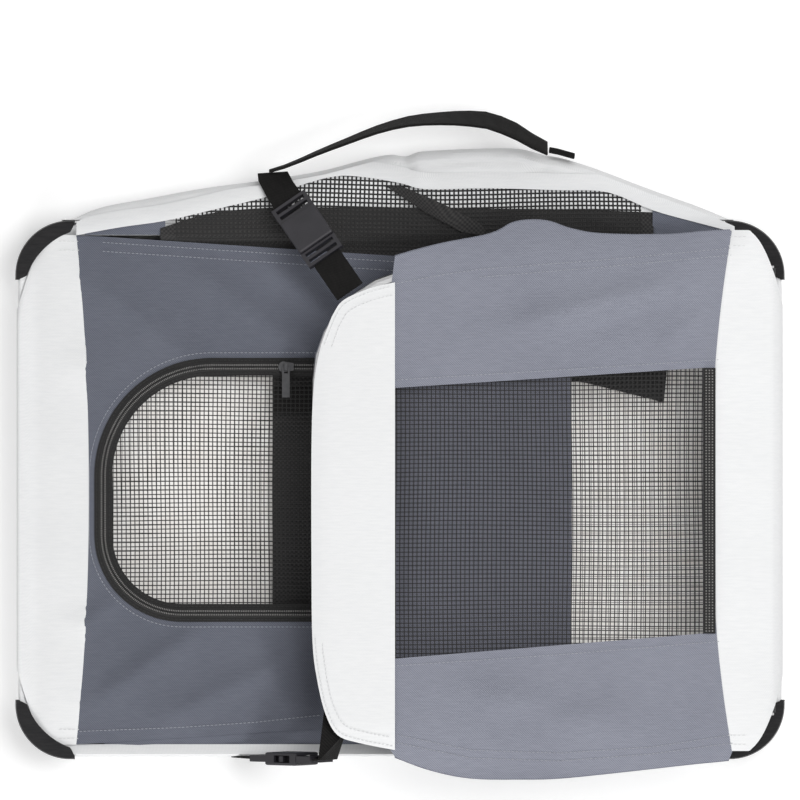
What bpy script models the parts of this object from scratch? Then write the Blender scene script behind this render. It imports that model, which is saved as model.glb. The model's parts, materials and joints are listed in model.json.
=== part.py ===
"""A soft folding dog crate, folded flat and strapped shut, in metres with +Z up.

It lies on its floor cloth, with the floor's centre at the origin. X runs along the crate, from the door
end to the window end, and +Y is the edge with the carrying handle. Both end frames swing up on
brackets on the base tube, the roof unfolds between their tops and the side walls unfold upwards.
"""
import math

import bpy
import bmesh
from mathutils import Vector

# Overall sizes
BASE_LENGTH = 0.600
BASE_WIDTH = 0.420
OPEN_HEIGHT = 0.440

# Clearances
SEAT_GAP = 0.0003
CUT_OVERRUN = 0.004
PIN_CLEARANCE = 0.0003

# Cloth and net thicknesses
PANEL_CLOTH = 0.0020
THIN_CLOTH = 0.0010
NET_THICKNESS = 0.0012

# Base
FLOOR_CLOTH = 0.0020
TUBE_RADIUS = 0.0060
BASE_TUBE_CORNER = 0.027
BASE_END_ROOM = 0.0040
BASE_SIDE_ROOM = 0.0008
BAND_WALL = 0.0025
BAND_HEIGHT = 0.0337
BAND_CORNER = 0.040
RISER_HEIGHT = 0.0530
RISER_WIDTH = 0.330
BOARD_THICKNESS = 0.0030
BOARD_CORNER = 0.018
BOARD_ROOM = 0.0045
MAT_THICKNESS = 0.0080
MAT_INSET = 0.0030
MAT_EDGE_ROUND = 0.0035

# Corner protectors
PROTECTOR_WALL = 0.0022
PROTECTOR_LEG = 0.046
PROTECTOR_HEIGHT = 0.0345

# End frames
LEFT_LEG_INSET = 0.062
RIGHT_LEG_INSET = 0.044
LEFT_LEG_Y = BASE_WIDTH / 2 - LEFT_LEG_INSET
RIGHT_LEG_Y = BASE_WIDTH / 2 - RIGHT_LEG_INSET
FRAME_CORNER = 0.080
RIGHT_HINGE_RISE = 0.0574
PLUG_LENGTH = 0.0120
PLUG_HALF_WIDTH = 0.0060
BRACKET_THICKNESS = 0.0040
BRACKET_FOOT_HALF = 0.0090
BRACKET_FOOT_DROP = 0.0020
BRACKET_FOOT_RISE = 0.0040
BRACKET_SLOT_HALF = 0.0028
BRACKET_SLOT_MARGIN = 0.0130
BRACKET_PLAY = 0.0004
PIN_RADIUS = 0.0030
PIN_HEAD_RADIUS = 0.0048
PIN_HEAD_THICKNESS = 0.0018

# Left end cloth
LEFT_TIP_OVERHANG = 0.0075
LEFT_TIP_LAP = 0.012
LEFT_CLOTH_INSET = 0.010
LEFT_TIP_HALF_WIDTH = LEFT_LEG_Y + LEFT_TIP_LAP
LEFT_CLOTH_HALF_WIDTH = BASE_WIDTH / 2 - LEFT_CLOTH_INSET
LEFT_CLOTH_CORNER = 0.088
LEFT_TRIM_WIDTH = 0.036
TRIM_CORNER = 0.030
CLOTH_EDGE_ROUND = 0.0007

# Door
DOOR_TIP_ALONG = 0.3530
DOOR_BOTTOM_ALONG = 0.0615
DOOR_SIDE_ROOM = 0.0450
DOOR_TIP_X = DOOR_TIP_ALONG - BASE_LENGTH / 2
DOOR_BOTTOM_X = DOOR_BOTTOM_ALONG - BASE_LENGTH / 2
DOOR_HALF_HEIGHT = LEFT_LEG_Y - DOOR_SIDE_ROOM
DOOR_UPPER_CORNER_SHARE = 0.893
DOOR_LOWER_CORNER_SHARE = 0.660
DOOR_UPPER_CORNER = DOOR_HALF_HEIGHT * DOOR_UPPER_CORNER_SHARE
DOOR_LOWER_CORNER = DOOR_HALF_HEIGHT * DOOR_LOWER_CORNER_SHARE
ZIP_TAPE_WIDTH = 0.0140
ZIP_TAPE_THICKNESS = 0.0009
ZIP_COIL_WIDTH = 0.0048
ZIP_COIL_HEIGHT = 0.0012
NET_LAP = 0.0020
NET_BORDER = 0.0060
DOOR_GAPS_ACROSS = 13
DOOR_GAPS_ALONG = 15
WINDOW_GAPS_ACROSS = 10
WINDOW_GAPS_ALONG = 12
NET_STRAND = 0.0030
SLIDER_ALONG = 0.2110
SLIDER_X = SLIDER_ALONG - BASE_LENGTH / 2
SLIDER_LENGTH = 0.0120
SLIDER_WIDTH = 0.0085
SLIDER_PLATE = 0.0014
SLIDER_BAIL_HEIGHT = 0.0034
SLIDER_BAIL_LENGTH = 0.0056
SLIDER_BAIL_THICKNESS = 0.0012
PULLER_LENGTH = 0.0240
PULLER_WIDTH = 0.0060
PULLER_THICKNESS = 0.0014
PULLER_SLOT_LENGTH = 0.0038
TIE_TAB_LENGTH = 0.0410
TIE_TAB_WIDTH = 0.0210
TIE_TAB_ALONG = 0.2220
TIE_TAB_DROP = 0.0330
TIE_TAB_X = TIE_TAB_ALONG - BASE_LENGTH / 2
TIE_TAB_Y = DOOR_HALF_HEIGHT - TIE_TAB_DROP

# Right end cloth
RIGHT_TRIM_WIDTH = 0.0405
RIGHT_CLOTH_INSET = 0.0085
RIGHT_SEAM_ALONG = 0.3039
RIGHT_HINGE_HALF_WIDTH = BASE_WIDTH / 2 - RIGHT_CLOTH_INSET
RIGHT_SEAM_X = BASE_LENGTH / 2 - RIGHT_SEAM_ALONG
TOP_STRIP_LIFT = 0.0003
WINDOW_TOP_HINGE_SHARE = 0.4715
WINDOW_TOP_SEAM_SHARE = 0.3945
WINDOW_LOW_HINGE_SHARE = -0.5489
WINDOW_LOW_SEAM_SHARE = -0.6452
WINDOW_TOP_HINGE_Y = RIGHT_HINGE_HALF_WIDTH * WINDOW_TOP_HINGE_SHARE
WINDOW_TOP_SEAM_Y = RIGHT_HINGE_HALF_WIDTH * WINDOW_TOP_SEAM_SHARE
WINDOW_LOW_HINGE_Y = RIGHT_HINGE_HALF_WIDTH * WINDOW_LOW_HINGE_SHARE
WINDOW_LOW_SEAM_Y = RIGHT_HINGE_HALF_WIDTH * WINDOW_LOW_SEAM_SHARE
BINDING_WIDTH = 0.0100
BINDING_THICKNESS = 0.0014
SKIRT_DEPTH = 0.0200
SKIRT_THICKNESS = 0.0025
SKIRT_INSET = 0.0040

# Roof and walls
ROOF_RIGHT_LENGTH = 0.195
ROOF_LEFT_LENGTH = 0.2190
ROOF_INSET = 0.060
ROOF_HALF_WIDTH = BASE_WIDTH / 2 - ROOF_INSET
WALL_HALF_HEIGHT = 0.207
WALL_END_INSET = 0.032
WALL_HINGE_INSET = 0.0135
WALL_HALF_LENGTH = BASE_LENGTH / 2 - WALL_END_INSET
WALL_HINGE_Y = BASE_WIDTH / 2 - WALL_HINGE_INSET
WALL_HINGE_ROOM = 0.0025

# Pulled-up roll along the handle edge
ROLL_END_INSET = 0.035
ROLL_LENGTH = BASE_LENGTH - 2 * ROLL_END_INSET
ROLL_PULL = 0.0580
ROLL_HEIGHT = 0.0365
ROLL_FLOOR_ROOM = 0.0006
ROLL_ROUND = 0.0070
ROLL_ARC_STEPS = 4
ROLL_STATIONS = 28
ROLL_END_DEPTH = 0.0050
ROLL_ALONG_SHARES = (0.0, 0.07, 0.31, 0.53, 0.70, 0.76, 0.82, 0.95, 1.0)
ROLL_PULL_SHARES = (0.04, 0.15, 0.60, 0.95, 1.0, 0.885, 0.72, 0.24, 0.04)

# Net that runs from the roll in under the folded ends, with a cloth patch at each end
FOOT_NET_INSET = 0.080
FOOT_NET_LENGTH = ROLL_LENGTH - 2 * FOOT_NET_INSET
FOOT_NET_X = 0.0060
FOOT_NET_SIDE_INSET = 0.0240
FOOT_NET_INNER_Y = BASE_WIDTH / 2 - FOOT_NET_SIDE_INSET
FOOT_NET_ROLL_WIDTH = 0.0250
PATCH_LENGTH = 0.0500
PATCH_ROLL_WIDTH = 0.0070
PATCH_INNER_INSET = 0.0090

# Carrying handle
HANDLE_BEHIND_STRAP = 0.0150
HANDLE_SPAN = 0.2170
HANDLE_RISE = 0.0290
HANDLE_WIDTH = 0.0250
HANDLE_LEAN = 35
HANDLE_THICKNESS = 0.0022
HANDLE_LIFT = 0.0016
HANDLE_ROLL_CLEARANCE = 0.0005
HANDLE_TAIL_LENGTH = 0.0200
HANDLE_TAIL_WIDTH = 0.0140
HANDLE_TAIL_DROP = 0.0142
HANDLE_TAIL_THICKNESS = 0.0020
HANDLE_ALONG_SHARES = (0.0, 0.22, 0.45, 0.62, 0.78, 0.89, 1.0)
HANDLE_RISE_SHARES = (0.0, 0.50, 0.98, 1.04, 0.90, 0.52, 0.0)
HANDLE_WIDTH_SHARES = (0.48, 0.85, 1.0, 1.0, 1.0, 0.92, 0.70)
HANDLE_LEAN_SHARES = (0.18, 0.28, 0.45, 0.65, 0.88, 1.0, 1.0)

# Straps and side-release buckles
STRAP_WIDTH = 0.0240
STRAP_THICKNESS = 0.0016
BUCKLE_WIDTH = 0.0310
BUCKLE_LADDER_LENGTH = 0.0140
BUCKLE_BODY_LENGTH = 0.0300
BUCKLE_MALE_LENGTH = 0.0130
BUCKLE_THICKNESS = 0.0100
BUCKLE_LADDER_THICKNESS = 0.0050
BUCKLE_CAVITY_WIDTH = 0.0236
BUCKLE_CAVITY_HEIGHT = 0.0056
BUCKLE_CAVITY_DEPTH = 0.0270
BUCKLE_WINDOW_START = 0.0060
BUCKLE_WINDOW_LENGTH = 0.0150
BUCKLE_ROUND = 0.0016
LADDER_SLOT_WIDTH = 0.0252
LADDER_SLOT_LENGTH = 0.0032
LADDER_BAR = 0.0024
MALE_GAP = 0.0004
GUIDE_LENGTH = 0.0200
GUIDE_WIDTH = 0.0040
GUIDE_THICKNESS = 0.0030
PRONG_LENGTH = 0.0225
PRONG_ARM_WIDTH = 0.0028
PRONG_ROOT_Y = 0.0078
PRONG_THICKNESS = 0.0044
PRONG_BARB_LENGTH = 0.0100
PRONG_BARB_OUT = 0.0042
PRONG_ROOT_PLAY = 0.0007
TOP_BUCKLE_BEHIND_TIP = 0.0251
TOP_BUCKLE_OUT = 0.0170
TOP_BUCKLE_LEVEL = 0.0525
TOP_BUCKLE_REACH = (0.0608, -0.0888, 0.0450)
LOW_BUCKLE_BEHIND_TIP = 0.0461
LOW_BUCKLE_OUT = 0.0010
LOW_BUCKLE_LEVEL = 0.0490
LOW_BUCKLE_REACH = (0.0800, 0.0, 0.0560)

# Facet counts
TUBE_BEVEL_STEPS = 4
CORNER_STEPS = 7
PIN_SIDES = 16
ARC_STEPS = 10

# Sizes that follow from the ones above
band_out_x = BASE_LENGTH / 2 - PROTECTOR_WALL - SEAT_GAP
band_out_y = BASE_WIDTH / 2 - PROTECTOR_WALL - SEAT_GAP
band_in_x = band_out_x - BAND_WALL
band_in_y = band_out_y - BAND_WALL
base_tube_x = band_in_x - BASE_END_ROOM - TUBE_RADIUS
base_tube_y = band_in_y - BASE_SIDE_ROOM - TUBE_RADIUS
floor_top = FLOOR_CLOTH
base_tube_z = floor_top + SEAT_GAP + TUBE_RADIUS
base_tube_top = base_tube_z + TUBE_RADIUS
band_low = floor_top + SEAT_GAP
band_top = band_low + BAND_HEIGHT
layer_step = THIN_CLOTH + SEAT_GAP
layer_lows = [base_tube_top + SEAT_GAP + count * layer_step for count in range(6)]
left_hinge_z = layer_lows[-1] + THIN_CLOTH + SEAT_GAP + TUBE_RADIUS
right_hinge_z = left_hinge_z + RIGHT_HINGE_RISE
frame_top_z = OPEN_HEIGHT - THIN_CLOTH - SEAT_GAP - TUBE_RADIUS
left_hinge_x = -base_tube_x
right_hinge_x = base_tube_x
left_reach = frame_top_z - left_hinge_z
right_reach = frame_top_z - right_hinge_z
left_tip_x = left_hinge_x + left_reach
right_tip_x = right_hinge_x - right_reach
left_cloth_low = left_hinge_z + TUBE_RADIUS + SEAT_GAP
left_cloth_top = left_cloth_low + PANEL_CLOTH
right_cloth_low = right_hinge_z + TUBE_RADIUS + SEAT_GAP
right_cloth_top = right_cloth_low + PANEL_CLOTH
zip_low = left_cloth_top + SEAT_GAP
zip_top = zip_low + ZIP_TAPE_THICKNESS + ZIP_COIL_HEIGHT
roll_low = floor_top + SEAT_GAP + ROLL_FLOOR_ROOM
roll_top = roll_low + ROLL_HEIGHT
strap_over_z = roll_top + SEAT_GAP + NET_THICKNESS + SEAT_GAP + STRAP_THICKNESS
handle_z = strap_over_z + STRAP_THICKNESS / 2 + HANDLE_THICKNESS / 2 + HANDLE_LIFT
top_buckle_start = (right_tip_x - TOP_BUCKLE_BEHIND_TIP, band_out_y + TOP_BUCKLE_OUT, TOP_BUCKLE_LEVEL)
low_buckle_start = (right_tip_x - LOW_BUCKLE_BEHIND_TIP, -band_out_y - LOW_BUCKLE_OUT, LOW_BUCKLE_LEVEL)
handle_left_x = top_buckle_start[0] - HANDLE_BEHIND_STRAP
handle_right_x = handle_left_x + HANDLE_SPAN
roof_hinge_z = layer_lows[4] + THIN_CLOTH + SEAT_GAP + TUBE_RADIUS

# Colours of the sub-parts
WHITE = (0.86, 0.86, 0.85)
GREY = (0.200, 0.210, 0.250)
DARK_GREY = (0.105, 0.115, 0.145)
BLACK = (0.012, 0.012, 0.013)
NET_BLACK = (0.018, 0.018, 0.018)
FLEECE = (0.78, 0.76, 0.72)
BOARD = (0.10, 0.10, 0.11)
PLASTIC = (0.030, 0.030, 0.033)
STEEL = (0.55, 0.55, 0.56)


# Tools for making the shapes

def clear_objects():
    for thing in list(bpy.data.objects):
        bpy.data.objects.remove(thing, do_unlink=True)


def paint(name, colour, roughness, metallic=0.0):
    """A plain material with the sub-part's colour, gloss and metal value."""
    material = bpy.data.materials.new(name)
    material.use_nodes = True
    shader = material.node_tree.nodes["Principled BSDF"]
    shader.inputs["Base Color"].default_value = (*colour, 1.0)
    shader.inputs["Roughness"].default_value = roughness
    shader.inputs["Metallic"].default_value = metallic
    return material


def show(name, mesh, look):
    colour, roughness, metallic = look
    mesh.materials.append(paint(name, colour, roughness, metallic))
    thing = bpy.data.objects.new(name, mesh)
    bpy.context.scene.collection.objects.link(thing)
    return thing


def from_bmesh(name, shape, look):
    bmesh.ops.recalc_face_normals(shape, faces=shape.faces)
    mesh = bpy.data.meshes.new(name)
    shape.to_mesh(mesh)
    shape.free()
    return show(name, mesh, look)


def flat(x, y, height):
    """Places a drawn outline in the XY plane."""
    return Vector((x, y, height))


def upright(x, z, depth):
    """Places a drawn outline in the XZ plane."""
    return Vector((x, depth, z))


def prism(name, outline, low, high, look, place=flat):
    """An outline extruded from one level to another."""
    shape = bmesh.new()
    bottom = [shape.verts.new(place(a, b, low)) for a, b in outline]
    face = shape.faces.new(bottom)
    top = bmesh.ops.extrude_face_region(shape, geom=[face])["geom"]
    rise = place(0, 0, high) - place(0, 0, low)
    bmesh.ops.translate(shape, vec=rise, verts=[v for v in top if isinstance(v, bmesh.types.BMVert)])
    return from_bmesh(name, shape, look)


def loft(name, rings, look, closed=False):
    """A skin over equal rings of points, capped at both ends unless it closes on itself."""
    shape = bmesh.new()
    rows = [[shape.verts.new(point) for point in ring] for ring in rings]
    pairs = list(zip(rows, rows[1:]))
    if closed:
        pairs.append((rows[-1], rows[0]))
    for first, second in pairs:
        for index in range(len(first)):
            after = (index + 1) % len(first)
            shape.faces.new((first[index], first[after], second[after], second[index]))
    if not closed:
        shape.faces.new(rows[0])
        shape.faces.new(rows[-1])
    return from_bmesh(name, shape, look)


def tube(name, points, look, cyclic=False):
    """A round steel tube along a line of points."""
    curve = bpy.data.curves.new(name, "CURVE")
    curve.dimensions = "3D"
    curve.bevel_depth = TUBE_RADIUS
    curve.bevel_resolution = TUBE_BEVEL_STEPS
    curve.use_fill_caps = not cyclic
    spline = curve.splines.new("POLY")
    spline.points.add(len(points) - 1)
    for target, point in zip(spline.points, points):
        target.co = (*point, 1.0)
    spline.use_cyclic_u = cyclic
    return show(name, curve, look)


def turned(name, profile, centre, look, sides=PIN_SIDES):
    """A round piece about an axis along Y, from (distance along Y, radius) pairs."""
    turns = [math.tau * side / sides for side in range(sides)]
    rings = []
    for along, radius in profile:
        ring = [Vector((radius * math.cos(t), along, radius * math.sin(t))) + centre for t in turns]
        rings.append(ring)
    return loft(name, rings, look)


def cut(target, cutter):
    """Cuts one object out of another."""
    cutter.hide_render = True
    cutter.display_type = "WIRE"
    step = target.modifiers.new("cut", "BOOLEAN")
    step.object = cutter
    step.operation = "DIFFERENCE"
    step.solver = "EXACT"


def fuse(target, other):
    """Joins another shape to an object as one solid."""
    other.hide_render = True
    other.display_type = "WIRE"
    step = target.modifiers.new("fuse", "BOOLEAN")
    step.object = other
    step.operation = "UNION"
    step.solver = "EXACT"


def soften(target, width, segments=2, angle=0.6):
    """Rounds the sharp edges."""
    step = target.modifiers.new("round", "BEVEL")
    step.width = width
    step.segments = segments
    step.limit_method = "ANGLE"
    step.angle_limit = angle


def arc(centre_x, centre_y, radius, start, end, steps):
    """Points along an arc, with the angles in degrees."""
    turns = [math.radians(start + (end - start) * step / steps) for step in range(steps + 1)]
    return [(centre_x + radius * math.cos(t), centre_y + radius * math.sin(t)) for t in turns]


def rounded_rectangle(half_x, half_y, corner, steps=CORNER_STEPS):
    outline = []
    for sign_x, sign_y, start in ((1, 1, 0), (-1, 1, 90), (-1, -1, 180), (1, -1, 270)):
        middle = (sign_x * (half_x - corner), sign_y * (half_y - corner))
        outline += arc(*middle, corner, start, start + 90, steps)
    return outline


def rectangle(low_x, high_x, low_y, high_y):
    return [(low_x, low_y), (high_x, low_y), (high_x, high_y), (low_x, high_y)]


def eased(places, values, at):
    """A smooth curve through the given values, read at one place."""
    for index in range(len(places) - 1):
        if at <= places[index + 1]:
            break
    start, end = places[index], places[index + 1]
    share = (at - start) / (end - start)
    before = values[max(index - 1, 0)]
    low, high = values[index], values[index + 1]
    after = values[min(index + 2, len(values) - 1)]
    bend = 2 * before - 5 * low + 4 * high - after
    twist = 3 * low - before - 3 * high + after
    return low + 0.5 * ((high - before) * share + bend * share ** 2 + twist * share ** 3)


def ribbon(name, centres, across, thickness, look):
    """A flat band along a line of points, with the half width at each point as a vector."""
    rings = []
    for index, centre in enumerate(centres):
        before = centres[max(index - 1, 0)]
        after = centres[min(index + 1, len(centres) - 1)]
        side = across[index]
        face = (after - before).cross(side).normalized() * (thickness / 2)
        rings.append([centre + side + face, centre - side + face, centre - side - face, centre + side - face])
    return loft(name, rings, look)


cloth_white = (WHITE, 0.85, 0.0)
cloth_grey = (GREY, 0.90, 0.0)
cloth_dark = (DARK_GREY, 0.90, 0.0)
webbing = (BLACK, 0.80, 0.0)
netting = (NET_BLACK, 0.75, 0.0)
fleece = (FLEECE, 1.0, 0.0)
stiff_board = (BOARD, 0.70, 0.0)
plastic = (PLASTIC, 0.35, 0.0)
steel = (STEEL, 0.30, 1.0)


# The base: floor cloth, board, mat, tube ring and white band

def base_tube_line():
    outline = rounded_rectangle(base_tube_x, base_tube_y, BASE_TUBE_CORNER)
    return [flat(x, y, base_tube_z) for x, y in outline]


def make_base():
    floor = rounded_rectangle(band_out_x, band_out_y, BAND_CORNER)
    prism("floor_cloth", floor, 0, floor_top, cloth_white)
    tube("base_tube_ring", base_tube_line(), steel, cyclic=True)

    board_x = base_tube_x - TUBE_RADIUS - BOARD_ROOM
    board_y = base_tube_y - TUBE_RADIUS - BOARD_ROOM
    board_low = floor_top + SEAT_GAP
    board_top = board_low + BOARD_THICKNESS
    board = rounded_rectangle(board_x, board_y, BOARD_CORNER)
    prism("floor_board", board, board_low, board_top, stiff_board)
    mat_low = board_top + SEAT_GAP
    mat_outline = rounded_rectangle(board_x - MAT_INSET, board_y - MAT_INSET, BOARD_CORNER)
    mat = prism("fleece_mat", mat_outline, mat_low, mat_low + MAT_THICKNESS, fleece)
    soften(mat, MAT_EDGE_ROUND, 3)

    band = prism("base_band", floor, band_low, band_top, cloth_white)
    inside = rounded_rectangle(band_in_x, band_in_y, BAND_CORNER - BAND_WALL)
    cut(band, prism("band_inside", inside, band_low - CUT_OVERRUN, band_top + CUT_OVERRUN, cloth_white))

    riser_low = band_top + SEAT_GAP
    riser = rectangle(band_in_x, band_out_x, -RISER_WIDTH / 2, RISER_WIDTH / 2)
    prism("right_riser_band", riser, riser_low, riser_low + RISER_HEIGHT, cloth_white)


def make_protectors():
    """A felt angle outside each corner of the band."""
    outer_x = BASE_LENGTH / 2
    outer_y = BASE_WIDTH / 2
    inner_x = outer_x - PROTECTOR_WALL
    inner_y = outer_y - PROTECTOR_WALL
    corner = BAND_CORNER + SEAT_GAP
    outer = arc(outer_x - corner - PROTECTOR_WALL, outer_y - corner - PROTECTOR_WALL,
                corner + PROTECTOR_WALL, 0, 90, CORNER_STEPS)
    inner = arc(inner_x - corner, inner_y - corner, corner, 90, 0, CORNER_STEPS)
    start = outer_y - PROTECTOR_LEG
    end = outer_x - PROTECTOR_LEG
    outline = [(outer_x, start)] + outer + [(end, outer_y), (end, inner_y)] + inner + [(inner_x, start)]
    places = {"front_left": (-1, -1), "front_right": (1, -1), "back_left": (-1, 1), "back_right": (1, 1)}
    for place, (sign_x, sign_y) in places.items():
        turned_outline = [(sign_x * x, sign_y * y) for x, y in outline]
        name = "corner_protector_" + place
        prism(name, turned_outline, band_low, band_low + PROTECTOR_HEIGHT, (BLACK, 1.0, 0.0))


# The hinges between the base tube and the end frames

def bracket_outline(rise):
    """A saddle on the base tube below, drawn in to an eye round the pin above."""
    notch = TUBE_RADIUS + SEAT_GAP
    open_turn = math.degrees(math.asin(BRACKET_FOOT_DROP / notch))
    eye = arc(0, rise, TUBE_RADIUS, 0, 180, ARC_STEPS)
    saddle = arc(0, 0, notch, 180 + open_turn, -open_turn, ARC_STEPS)
    right_foot = [(BRACKET_FOOT_HALF, -BRACKET_FOOT_DROP), (BRACKET_FOOT_HALF, BRACKET_FOOT_RISE)]
    left_foot = [(-BRACKET_FOOT_HALF, BRACKET_FOOT_RISE), (-BRACKET_FOOT_HALF, -BRACKET_FOOT_DROP)]
    return right_foot + eye + left_foot + saddle


def make_hinge(end, side, hinge_x, hinge_z, leg_y, bracket_outside):
    """A bracket with its riveted pivot pin, and the plug in the end of one frame leg."""
    sign = 1 if side == "back" else -1
    name = end + "_" + side
    toward_tip = 1 if end == "left" else -1
    hole_radius = PIN_RADIUS + PIN_CLEARANCE
    centre = Vector((hinge_x, 0, hinge_z))
    rise = hinge_z - base_tube_z

    leg_inner = leg_y - PLUG_HALF_WIDTH
    leg_outer = leg_y + PLUG_HALF_WIDTH
    if bracket_outside:
        near = leg_outer + BRACKET_PLAY
        far = near + BRACKET_THICKNESS
        pin_start, pin_end = leg_inner - SEAT_GAP, far + SEAT_GAP
    else:
        far = leg_inner - BRACKET_PLAY
        near = far - BRACKET_THICKNESS
        pin_start, pin_end = near - SEAT_GAP, leg_outer + SEAT_GAP
        near, far = far, near

    outline = [(hinge_x + x, base_tube_z + z) for x, z in bracket_outline(rise)]
    bracket = prism(name + "_bracket", outline, sign * near, sign * far, steel, upright)
    head = PIN_HEAD_THICKNESS
    profile = [(pin_start - head, PIN_HEAD_RADIUS), (pin_start, PIN_HEAD_RADIUS), (pin_start, PIN_RADIUS),
               (pin_end, PIN_RADIUS), (pin_end, PIN_HEAD_RADIUS), (pin_end + head, PIN_HEAD_RADIUS)]
    pin_profile = [(sign * along, radius) for along, radius in profile]
    fuse(bracket, turned(name + "_pivot_pin", pin_profile, centre, steel))
    slot_low = base_tube_z + TUBE_RADIUS + BRACKET_SLOT_MARGIN
    slot_high = hinge_z - BRACKET_SLOT_MARGIN
    if slot_high > slot_low:
        upper = arc(hinge_x, slot_high, BRACKET_SLOT_HALF, 0, 180, ARC_STEPS)
        lower = arc(hinge_x, slot_low, BRACKET_SLOT_HALF, 180, 360, ARC_STEPS)
        slot_start, slot_end = sorted((sign * near, sign * far))
        slot = prism(name + "_bracket_slot", upper + lower, slot_start - CUT_OVERRUN,
                     slot_end + CUT_OVERRUN, steel, upright)
        cut(bracket, slot)

    back_of_eye = 90 if toward_tip > 0 else -90
    eye = arc(hinge_x, hinge_z, TUBE_RADIUS, back_of_eye, back_of_eye + 180, ARC_STEPS)
    reach_x = hinge_x + toward_tip * (PLUG_LENGTH - SEAT_GAP)
    first_z = hinge_z - toward_tip * TUBE_RADIUS
    last_z = hinge_z + toward_tip * TUBE_RADIUS
    plug_outline = eye + [(reach_x, first_z), (reach_x, last_z)]
    plug = prism(name + "_leg_plug", plug_outline, sign * leg_inner, sign * leg_outer, plastic, upright)
    bore = [(sign * (leg_inner - CUT_OVERRUN), hole_radius), (sign * (leg_outer + CUT_OVERRUN), hole_radius)]
    cut(plug, turned(name + "_plug_bore", bore, centre, steel))


# The two end frames

def frame_line(hinge_x, hinge_z, toward_tip, reach, leg_y):
    """The line of a U-shaped frame, from one leg's plug round to the other's."""
    tip_x = hinge_x + toward_tip * reach
    start_x = hinge_x + toward_tip * PLUG_LENGTH
    corner_x = tip_x - toward_tip * FRAME_CORNER
    corner_y = leg_y - FRAME_CORNER
    one_corner = arc(0, 0, FRAME_CORNER, 90, 0, CORNER_STEPS)
    half = [(start_x, leg_y)] + [(corner_x + toward_tip * x, corner_y + y) for x, y in one_corner]
    other = [(x, -y) for x, y in reversed(half)]
    return [flat(x, y, hinge_z) for x, y in half + other]


def make_frames():
    left_line = frame_line(left_hinge_x, left_hinge_z, 1, left_reach, LEFT_LEG_Y)
    tube("left_end_frame", left_line, steel)
    right_line = frame_line(right_hinge_x, right_hinge_z, -1, right_reach, RIGHT_LEG_Y)
    tube("right_end_frame", right_line, steel)
    for side in ("back", "front"):
        make_hinge("left", side, left_hinge_x, left_hinge_z, LEFT_LEG_Y, True)
        make_hinge("right", side, right_hinge_x, right_hinge_z, RIGHT_LEG_Y, False)


# The left end: grey cloth with the round-ended door

def left_cloth_half_width(x):
    """The cloth narrows from the hinge to the frame's tip."""
    tip_x = left_tip_x + LEFT_TIP_OVERHANG
    share = (x - left_hinge_x) / (tip_x - LEFT_CLOTH_CORNER - left_hinge_x)
    drop = LEFT_CLOTH_HALF_WIDTH - LEFT_TIP_HALF_WIDTH
    return LEFT_CLOTH_HALF_WIDTH - drop * max(0.0, share) ** 1.6


def left_cloth_outline(start_x):
    tip_x = left_tip_x + LEFT_TIP_OVERHANG
    corner_x = tip_x - LEFT_CLOTH_CORNER
    span = corner_x - start_x
    edge = [start_x + span * step / ARC_STEPS for step in range(ARC_STEPS)]
    upper = [(x, left_cloth_half_width(x)) for x in edge]
    upper += arc(corner_x, LEFT_TIP_HALF_WIDTH - LEFT_CLOTH_CORNER, LEFT_CLOTH_CORNER, 90, 0, ARC_STEPS)
    return upper + [(x, -y) for x, y in reversed(upper)]


def door_line(inset):
    """The door's zip line, open at the frame's tip, drawn in by the inset."""
    top = DOOR_HALF_HEIGHT - inset
    left = DOOR_BOTTOM_X + inset
    upper = DOOR_UPPER_CORNER - inset
    lower = DOOR_LOWER_CORNER - inset
    line = [(DOOR_TIP_X, top)]
    line += arc(left + upper, top - upper, upper, 90, 180, ARC_STEPS)
    line += arc(left + lower, lower - top, lower, 180, 270, ARC_STEPS)
    line.append((DOOR_TIP_X, -top))
    return line


def inside_outline(point, outline):
    """True where a point lies within a closed outline."""
    x, y = point
    inside = False
    for (ax, ay), (bx, by) in zip(outline, outline[1:] + outline[:1]):
        if (ay > y) != (by > y) and x < ax + (bx - ax) * (y - ay) / (by - ay):
            inside = not inside
    return inside


def boxes(name, rectangles, low, high):
    """Many separate upright boxes in one mesh, to cut with."""
    shape = bmesh.new()
    for outline in rectangles:
        bottom = [shape.verts.new(flat(x, y, low)) for x, y in outline]
        top = [shape.verts.new(flat(x, y, high)) for x, y in outline]
        shape.faces.new(bottom)
        shape.faces.new(top)
        for index in range(4):
            after = (index + 1) % 4
            shape.faces.new((bottom[index], bottom[after], top[after], top[index]))
    return from_bmesh(name, shape, netting)


def make_net(name, outline, border, low, gaps_along, gaps_across):
    """A flat net: a thin sheet with a bound border and a grid of square gaps."""
    xs = [x for x, _ in outline]
    ys = [y for _, y in outline]
    low_x, high_x = min(xs) + NET_BORDER, max(xs) - NET_BORDER
    low_y, high_y = min(ys) + NET_BORDER, max(ys) - NET_BORDER
    pitch_x = (high_x - low_x) / gaps_along
    pitch_y = (high_y - low_y) / gaps_across
    gaps = []
    for column in range(gaps_along):
        for row in range(gaps_across):
            start_x = low_x + column * pitch_x + NET_STRAND / 2
            start_y = low_y + row * pitch_y + NET_STRAND / 2
            gap = rectangle(start_x, start_x + pitch_x - NET_STRAND, start_y, start_y + pitch_y - NET_STRAND)
            if all(inside_outline(corner, border) for corner in gap):
                gaps.append(gap)
    net = prism(name, outline, low, low + NET_THICKNESS, netting)
    cut(net, boxes(name + "_gaps", gaps, low - CUT_OVERRUN, low + NET_THICKNESS + CUT_OVERRUN))
    return net


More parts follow.
